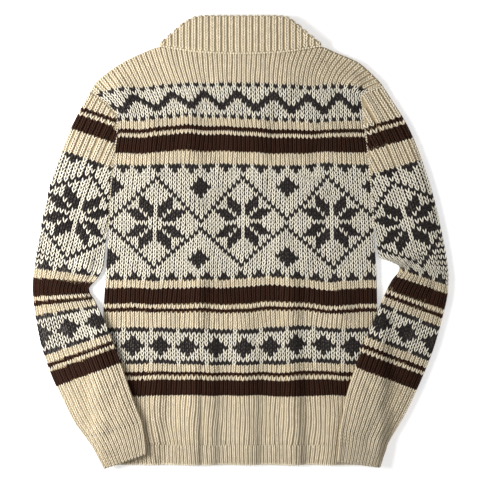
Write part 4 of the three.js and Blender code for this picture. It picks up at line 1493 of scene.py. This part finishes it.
@dataclass
class Tube:
    """A sleeve or a cuff: a flattened tube with ribs on its upper face.

    node is its CAD node, side left or right, table its sections, last the section where its lower end is,
    and cap_run the number of sections over which the armhole's curve fades.
    """

    node: str
    side: str
    table: Table
    pattern: Pattern
    last: float
    cap_run: float
    rows: int
    ribs: int = SLEEVE_RIBS
    columns: int = 4
    under_columns: int = 16
    groove: float = WALL - GROOVE_IN
    hump: float = 1.0
    bed_rise: float = 0.6
    edge_free: float = 0.6
    edge_roll: float = 2.6
    least_air: float = 0.5
    wall_in: float = 1.6
    # Painted shade: how much the inner face's colours are darkened.
    inner_painted_shade: float = 0.8
    samples: int = 441
    width_at: float = 0.55
    run: float = 24
    tops: float = 1.2
    axis: tuple[float, float] = (0.427, 0.904)
    cap_shift: tuple[float, float] = (1.2, -0.7)

    def __post_init__(self) -> None:
        """Measures the wales."""
        self.sign = SIGN[self.side]
        self._along_edges()
        self.courses = CourseMap(lambda a, u: self.distance(a, self.last - u), 0.0, self.last)

    def _along_edges(self) -> None:
        """Distances from the lower end along the outer and the inner edge."""
        self.marks = np.linspace(0, self.last, self.samples)
        edges = [stack(*(self.table.read(f"{edge}{axis}", self.marks) for axis in "XY"))
                 for edge in ("outer", "inner")]
        level = self.marks[:-1] >= self.cap_run
        middle = np.diff(run_length((edges[0] + edges[1]) / 2))
        self.edge_marks = []
        for edge in edges:
            line = np.where(level, middle, np.diff(run_length(edge)))
            self.edge_marks.append(np.concatenate([np.cumsum(line[::-1])[::-1], [0]]))

    def cap(self, t: Array) -> Array:
        """How much of the armhole's curve a section has."""
        return ease(1 - t / self.cap_run) if self.cap_run else np.zeros(np.shape(t))

    def bend(self, a: Array) -> tuple[Array, Array]:
        """How far the armhole departs from a straight line at a share across."""
        top, low, here = (body_edge(self.side, ARMHOLE.read(self.side, np.asarray(share, float)))
                          for share in (0, 1, a))
        return tuple(here[axis] - mix(top[axis], low[axis], a) for axis in (0, 1))

    def distance(self, a: Array, t: Array) -> Array:
        """Distance from the lower end, counted in courses' direction."""
        level = mix(*(np.interp(t, self.marks, marks) for marks in self.edge_marks), a)
        if not self.cap_run:
            return level
        bend = self.bend(a)
        lean = -self.sign * self.axis[0] * bend[0] + self.axis[1] * bend[1]
        return level + self.cap(t) * lean

    def plan(self, a: Array, t: Array) -> tuple[Array, Array]:
        """Plan at a share across from the outer edge, at a section."""
        x = mix(self.table.read("outerX", t), self.table.read("innerX", t), a)
        y = mix(self.table.read("outerY", t), self.table.read("innerY", t), a)
        if not self.cap_run:
            return x, y
        (bend_x, bend_y), cap = self.bend(a), self.cap(t)
        return x + cap * (bend_x + self.sign * self.cap_shift[0]), y + cap * (bend_y + self.cap_shift[1])

    def width(self, t: Array) -> Array:
        """Width of a section."""
        ends = [self.plan(np.zeros(np.shape(t)), t), self.plan(np.ones(np.shape(t)), t)]
        return np.hypot(ends[1][0] - ends[0][0], ends[1][1] - ends[0][1])

    def air(self, x: Array, y: Array, a: Array, t: Array) -> Array:
        """Air between the two walls.

        Args:
            x: place in the plan.
            y: place in the plan.
            a: share across.
            t: section.
        Returns:
            The height that is left free between the walls.
        """
        free = ease(np.minimum(a, 1 - a) * self.width(t) / self.run)
        folds = fold_height(SLEEVE_FOLDS + SLEEVE_CREASES, x, y) * np.minimum(1, 2 * free)
        return self.least_air + np.maximum(0, self.table.read("loft", t) * free + folds)

    def roundness(self, a: Array, t: Array) -> Array:
        """How far a point is from the middle of a rolled edge: 0 on it, 1 past the roll."""
        away = np.clip(np.minimum(a, 1 - a) * self.width(t) / self.edge_roll, 0, 1)
        return np.sqrt(np.clip(1 - (1 - away) ** 2, 0, 1))

    def upper(self, a: Array, t: Array, extra: Array) -> Array:
        """The upper face, rolled down at both edges.

        Args:
            a: share across.
            t: section.
            extra: height over its inner side.
        Returns:
            Its points.
        """
        x, y = self.plan(a, t)
        over = FLAT + self.air(x, y, a, t) + extra
        return stack(x, y, Layers.ground(x, y) + mix(EDGE_HEIGHT, over, self.roundness(a, t)))

    def found(self, q: Array, distance: Array) -> tuple[Array, Array]:
        """Share across and section at a rib share and a distance up from the lower end."""
        q = np.clip(q, 0, 1)
        t = self.last - self.courses.find(q, distance)
        return self.inset(q, t), t

    def top(self, q: Array, distance: Array) -> Array:
        """Points of the face that the stitches lie on."""
        return self.upper(*self.found(q, distance), self.groove + self.bed_rise)

    def bottom(self, q: Array, distance: Array) -> Array:
        """Points of the lower face that the stitches hang from."""
        x, y = self.plan(*self.found(q, distance))
        return stack(x, y, Layers.ground(x, y) + PRESSED_BED)

    def inset(self, q: Array, t: Array) -> Array:
        """Share across of a rib share, which leaves the rolled edges free."""
        roll = self.edge_free / self.width(t)
        return mix(roll, 1 - roll, q)

    def build(self) -> None:
        """Builds the shell and its stitches."""
        u = np.linspace(0, 1, self.rows)[:, None]
        total = self.courses.total
        q = self.turned(shares_across("left", self.ribs * self.columns + 1))
        face = self.upper(*self.found(q, u * total(q)), self.groove + rib_hump(q, self.ribs, self.hump))
        under_q = self.turned(1 - shares_across("left", self.under_columns + 1)[:, 1:-1])
        t = self.last - self.courses.find(under_q, u * total(under_q))
        x, y = self.plan(under_q, t)
        bed = mix(EDGE_HEIGHT, PRESSED_BED, self.roundness(under_q, t))
        under = stack(x, y, Layers.ground(x, y) + bed)
        outer = np.concatenate([face, under, face[:, :1]], axis=1)
        row = u + 0.5 / (self.rows - 1)
        over, below = (ground_colours(self.pattern.at(self.ribs, share, row * total(share) / COURSE))
                       for share in (q, under_q))
        colour = np.concatenate([over, below, over[:, :1]], axis=1)
        inner, inner_colour = self._inside(outer, colour)
        points, faces = closed_wall(outer, inner, True)
        joined = np.concatenate([colour[:, :-1].reshape(-1, 3), inner_colour[:, :-1].reshape(-1, 3)])
        shell = new_piece(f"{self.node}_shell", points, faces, joined, True)
        faces = (
            (self.top, -self.sign, RAISED, self.node, 35 if self.side == "right" else 30),
            (self.bottom, self.sign, PRESSED, f"{self.node}_under", 90),
        )
        extras = []
        for surface, turn, gauge, name, seed in faces:
            knit = KnitFace(surface, total, self.ribs, self.pattern, turn, self.tops,
                            self.cap_run > 0, gauge)
            extras += knit.stitches(name, 0, TOP_COURSE, seed)
        reach = float(total(0.1))
        width = 2 * float(self.width(self.last * self.width_at))
        finish_wool(shell, extras, self.node)

    def turned(self, share: Array) -> Array:
        """The share from the left as seen from above, for a share from the outer edge or back."""
        return share if self.side == "left" else 1 - share

    def _inside(self, outer: Array, colour: Array) -> tuple[Array, Array]:
        """The inner face: every second column of the outer one, a thin wall's thickness in, its colours
        darkened as painted shade.
        """
        picked = outer[:, ::2]
        centre = outer[:, :-1].mean(axis=1, keepdims=True)
        towards = (centre - picked) * np.array([1, 1, 0])
        reach = np.linalg.norm(towards, axis=-1, keepdims=True)
        near_edge = np.clip(reach / reach.max(axis=1, keepdims=True) * 2 - 1, 0, 1)
        down = np.sign(centre[..., 2:] - picked[..., 2:]) * np.array([0, 0, 1.0])
        inner = picked + down + self.wall_in * unit(towards) * near_edge
        return inner, colour[:, ::2] * self.inner_painted_shade


# ---- Collar ----
class FoldedBand:
    """A band folded along its length.

    p runs 0 to 1 along the leaf that shows, 1 to 2 round the fold, and 2 to 3 along the stand.
    """

    def folded(self, p: Array, ends: tuple[Array, Array, Array], heights: tuple, radius: Array,
               sense: int) -> tuple[Array, Array, Array, Array]:
        """The band's middle line across the fold.

        Args:
            p: place along the line.
            ends: y at the leaf's edge, where it starts to turn, and at the neck seam.
            heights: functions that give the leaf's and the stand's height at y, and the fold's own height.
            radius: of the fold.
            sense: 1 where the leaf is above the stand, -1 where it is below.
        Returns:
            y, z, and the outward direction's y and z.
        """
        start, turn, end = ends
        leaf_z, stand_z, fold_z = heights
        angle = sense * math.pi * (0.5 - np.clip(p - 1, 0, 1))
        leaf, stand = mix(start, turn, np.clip(p, 0, 1)), mix(turn, end, np.clip(p - 2, 0, 1))
        y = np.where(p <= 1, leaf, np.where(p <= 2, turn + radius * np.cos(angle), stand))
        round_z = fold_z + radius * np.sin(angle)
        z = np.where(p <= 1, leaf_z(leaf), np.where(p <= 2, round_z, stand_z(stand)))
        out_y = np.where((p > 1) & (p < 2), np.cos(angle), 0)
        out_z = np.where(p <= 1, sense, np.where(p < 2, np.sin(angle), -sense))
        return y, z, out_y, out_z

    def surface(self, share: Array, p: Array, out: Array) -> Array:
        """Points at a distance out of the middle line."""
        x, y, z, out_y, out_z = self.line(share, p)
        return stack(x, y + out * out_y, z + out * out_z)

    def wales(self, end: float) -> tuple[Surface, CourseMap]:
        """The face that stitches lie on, and its wales from the leaf's edge to a place p."""
        courses = CourseMap(lambda share, p: run_length(self.surface(share, p, self.face(p))), 0.0, end)

        def top(q: Array, distance: Array) -> Array:
            """Points of the face at a distance from the leaf's edge."""
            share = np.clip(q, 0, 1)
            place = courses.find(share, distance)
            return self.surface(share, place, self.face(place))

        return top, courses


def fold_places(leaf: int, fold: int, stand: int) -> Array:
    """Places p of a folded band's rows of points, so many on each stretch."""
    steps = [np.linspace(k, k + 1, count)[k > 0:] for k, count in enumerate((leaf, fold, stand))]
    return np.concatenate(steps)[:, None]


@dataclass
class Collar(FoldedBand):
    """The folded collar at the back of the neck and its chained edge."""

    half: float = COLLAR_HALF + 5
    ribs: int = COLLAR_RIBS
    columns: int = 4
    clear: float = 0.6
    stand: float = 2.4
    neck_clear: float = 0.9
    welt: float = 1.7
    rise: float = 2.2
    cord_in: float = 0.4
    cord_tall: float = 0.3
    cord_down: float = 0.7
    loops: int = 58

    def line(self, share: Array, p: Array) -> tuple[Array, ...]:
        """The collar's middle line: x, y, z and the outward direction's y and z."""
        share, p = np.broadcast_arrays(share, p)
        x = mix(-self.half, self.half, share)
        fold_y = COLLAR_TOP.read("y", x)

        def stand_z(y: Array) -> Array:
            """Height of the stand's middle line."""
            return Layers.back_inside(x, y) + self.stand / 2

        def leaf_z(y: Array) -> Array:
            """Height of the leaf's middle line."""
            return Layers.back_inside(x, y) + WALL + RIB + self.clear + WALL / 2

        low, high = stand_z(fold_y), leaf_z(fold_y)
        radius = (high - low) / 2
        start = COLLAR_EDGE.read("y", x) + self.welt
        turn = np.maximum(fold_y - radius - WALL / 2 - RIB, start + 0.3)
        seam = np.array([row[1:] for row in TOP.rows])
        end = np.interp(x, seam[:, 0], seam[:, 1]) + self.neck_clear
        return x, *self.folded(p, (start, turn, end), (leaf_z, stand_z, (low + high) / 2), radius, 1)

    @staticmethod
    def face(p: Array) -> Array:
        """How far the outer face is out of the middle line: less on the stand, inside the neck."""
        return WALL / 2 - 1.4 * ease((p - 1.6) / 0.8)

    def build(self) -> None:
        """Builds the back of the collar with its stitches, then its edge on its rolled bed."""
        share = shares_across("left", self.ribs * self.columns + 1)
        p = fold_places(12, 9, 5)
        fade = np.clip(2.2 - p, 0, 1)
        ribs = rib_hump(share, self.ribs, 1.0) * fade
        outer = self.surface(share, p, self.face(p) - GROOVE_IN * fade + ribs)
        inner = self.surface(share[:, :: self.columns], p, -WALL / 2)
        # The collar's shell is cream in painted groove shade.
        shell = new_piece("collar_fold", *closed_wall(outer, inner), PAINTED_SHADE_CREAM)
        top, courses = self.wales(3.0)
        face = KnitFace(top, courses.total, self.ribs, PLAIN_PATTERN, tops=0.2)
        extras = face.stitches("collar", 0, 40, seed=50)
        finish_wool(shell, extras, "collar_back")
        Chain("collar_chained_edge", self._edge_line, 2 * self.half, self.loops).build(seed=60)
        bed = self._edge_bed()
        dress(bed, GROUND_WOOL)
        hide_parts("collar_welt")

    def _edge_line(self, q: Array, distance: Array) -> Array:
        """Points along the leaf's edge, q across it and distance from the left end."""
        x = -self.half + distance
        y = COLLAR_EDGE.read("y", x)
        bed = Layers.back_inside(x, y) + WALL + RIB + GAP
        return stack(x, y - GAP + (q - 0.5) * 2 * self.welt, bed + self.rise)

    def _edge_bed(self) -> Piece:
        """The rolled edge under the chain: a cord along the leaf."""
        distance = np.linspace(0, 2 * self.half, 105)[:, None]
        turn = np.linspace(0, 2 * math.pi, 13)[None, :-1]
        middle = self._edge_line(np.array([[0.5]]), distance)
        wide = self.welt - self.cord_in
        tall = (wide + self.cord_tall) * np.sin(turn) - self.cord_down
        outer = middle + stack(0, wide * np.cos(turn), tall)
        index = grid_index(len(distance), turn.size, 0, True)
        faces = [grid_quads(index), np.stack([index[0, -2::-1], index[-1, :-1]])]
        # The cord is cream in painted shade, as it lies under the chain.
        return new_piece("collar_edge_bed", outer, faces, PAINTED_SHADE_CREAM)


@dataclass
class CollarFront(FoldedBand):
    """A front half of the collar, folded and face down, with stitches on the leaf that rests."""

    side: str
    ribs: int = 12
    columns: int = 4
    zip_end: float = 8
    knit_end: float = 1.1

    def line(self, share: Array, p: Array) -> tuple[Array, ...]:
        """The collar's middle line: x, y, z and the outward direction's y and z."""
        share, p = np.broadcast_arrays(share, p)
        x = SIGN[self.side] * mix(COLLAR_HALF, self.zip_end, share)
        low, high = FLAT / 2, COLLAR_LIFT + FLAT / 2
        radius = (high - low) / 2
        turn = COLLAR_FRONT.read("fold", np.abs(x)) - radius - FLAT / 2
        ends = (COLLAR_FRONT.read("edge", np.abs(x)), turn, Layers.neck_seam(x) + Collar.neck_clear)
        heights = (lambda y: low, lambda y: high, (low + high) / 2)
        return x, *self.folded(p, ends, heights, radius, -1)

    @staticmethod
    def face(p: Array) -> Array:
        """How far the outer face is out of the middle line: less where stitches lie on it."""
        return FLAT / 2 - PRESSED_BED * ease((2 - p) / 0.5)

    def build(self) -> None:
        """Builds the shell and its stitches."""
        share = shares_across(self.side, self.ribs * self.columns + 1)
        p = fold_places(12, 7, 12)
        inner, outer = self.surface(share, p, -FLAT / 2), self.surface(share, p, self.face(p))
        # The shell is cream in painted groove shade.
        shell = new_piece(f"collar_front_half_{self.side}", *closed_wall(inner, outer), PAINTED_SHADE_CREAM)
        leaf, courses = self.wales(self.knit_end)
        sign, node = SIGN[self.side], f"collar_front_{self.side}"
        knit = KnitFace(leaf, courses.total, self.ribs, PLAIN_PATTERN, sign, tops=0.5, gauge=PRESSED)
        finish_wool(shell, knit.stitches(node, 0, 30, seed=55), node)


# ---- Zip ----
@dataclass
class Zip:
    """The zip: woven tapes, metal teeth, stops, box, slider and pull tab."""

    tooth_pitch: float = 2.7
    tooth_out: float = 1.75
    tooth_size: tuple[float, float, float] = (3.0, 1.5, 2.6)
    tooth_bevel: float = 0.35
    low: float = -358
    high: float = 206
    sunk: float = 0.4

    def build(self) -> None:
        """Dresses the metal pieces and the tapes, and makes the teeth."""
        for node in ("zip_slider", "zip_pull", "zip_box", "zip_stop_left", "zip_stop_right"):
            paint(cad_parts[node], BRASS)
        for side in ("left", "right"):
            self._teeth(side)
            paint(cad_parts[f"zip_tape_{side}"], TAPE)
        log.info("zip: 2 tapes, 2 rows of teeth")

    def _tooth(self) -> tuple[Array, list[Array]]:
        """One tooth, modelled once: a bevelled block with a narrowed head."""
        bpy.ops.object.select_all(action="DESELECT")
        bpy.ops.mesh.primitive_cube_add(size=1, location=(0, 0, 0))
        tooth = bpy.context.object
        tooth.scale = self.tooth_size
        bpy.ops.object.transform_apply(location=False, rotation=False, scale=True)
        bevel = tooth.modifiers.new("edge", "BEVEL")
        bevel.width = self.tooth_bevel
        bevel.segments = 1
        bpy.ops.object.modifier_apply(modifier="edge")
        points = np.array([vertex.co[:] for vertex in tooth.data.vertices])
        faces: dict[int, list] = {}
        for polygon in tooth.data.polygons:
            faces.setdefault(len(polygon.vertices), []).append(list(polygon.vertices))
        bpy.data.objects.remove(tooth)
        return points, [np.array(group) for group in faces.values()]

    def _teeth(self, side: str) -> None:
        """Builds one side's row of teeth."""
        points, faces = self._tooth()
        start = self.low + (0 if side == "left" else self.tooth_pitch / 2)
        places = np.arange(start + 1, self.high - 1, self.tooth_pitch)
        height = Layers.lift(0 * places, places) + FLAT - self.sunk
        middle = stack(SIGN[side] * self.tooth_out, places, height)
        joined = (middle[:, None] + points[None]).reshape(-1, 3)
        starts = np.arange(len(places))[:, None, None] * len(points)
        groups = [(starts + group[None]).reshape(-1, group.shape[1]) for group in faces]
        row = new_piece(f"zip_tooth_row_{side}", joined, groups)
        row.data.polygons.foreach_set("use_smooth", np.zeros(len(row.data.polygons), bool))
        dress(row, BRASS)
        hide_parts(f"zip_teeth_{side}")


# ---- Studio ----
@dataclass
class Studio:
    """Camera straight above, a pale floor and soft light from the upper left."""

    view_width: float = 0.792
    lens: float = 85
    centre: tuple[float, float] = (-0.0008, 0.0031)
    floor_size: float = 8
    floor_drop: float = 0.0004
    half_film: float = 18
    top: float = 0.012
    world_light: float = 0.32

    def build(self) -> None:
        """Builds all of it."""
        scene = bpy.context.scene
        camera = bpy.data.objects.new("camera", bpy.data.cameras.new("camera"))
        scene.collection.objects.link(camera)
        camera.data.lens = self.lens
        distance = self.view_width / 2 / math.tan(math.atan(self.half_film / self.lens))
        camera.location = (*self.centre, distance + self.top)
        scene.camera = camera
        bpy.ops.object.select_all(action="DESELECT")
        bpy.ops.mesh.primitive_plane_add(size=self.floor_size, location=(0, 0, -self.floor_drop))
        floor = bpy.context.object
        floor.name = "floor"
        floor.data.materials.append(PaperFinish("paper_floor", tone=0.93, glow=0.4).make())
        self._light("key", (-1.15, 0.08, 0.72), 0.7, 34)
        self._light("fill", (1.7, -0.2, 1.3), 2.0, 10)
        world = bpy.data.worlds.new("studio")
        scene.world = world
        world.use_nodes = True
        sky = world.node_tree.nodes["Background"]
        sky.inputs["Color"].default_value = (1, 1, 1, 1)
        sky.inputs["Strength"].default_value = self.world_light
        scene.view_settings.view_transform = "Standard"
        log.info("studio: camera %.2f m above", distance)

    @staticmethod
    def _light(name: str, place: tuple[float, float, float], size: float, power: float) -> None:
        """Adds a soft square light that looks at the cardigan.

        Args:
            name: its name.
            place: its place in metres.
            size: its edge in metres.
            power: its power in watts.
        """
        lamp = bpy.data.lights.new(name, "AREA")
        lamp.size = size
        lamp.energy = power
        light = bpy.data.objects.new(name, lamp)
        light.location = place
        light.rotation_mode = "QUATERNION"
        light.rotation_quaternion = (-Vector(place)).to_track_quat("-Z", "Y")
        bpy.context.scene.collection.objects.link(light)


def main() -> None:
    """Builds the cardigan piece by piece, then the studio."""
    logging.basicConfig(level=logging.INFO, format="%(name)s: %(message)s")
    Studio().build()
    BackPanel().build()
    BackHem().build()
    for side in ("left", "right"):
        FrontPanel(side).build()
        Armhole(side).build()
        Tube(f"sleeve_{side}", side, SLEEVES[side], SLEEVE_PATTERN, last=11, cap_run=3, rows=130).build()
        Tube(f"cuff_{side}", side, CUFFS[side], PLAIN_PATTERN, last=2, cap_run=0, rows=12,
             groove=WALL - 0.4, tops=0.2).build()
        CollarFront(side).build()
    Collar().build()
    Zip().build()


if __name__ == "__main__":
    main()
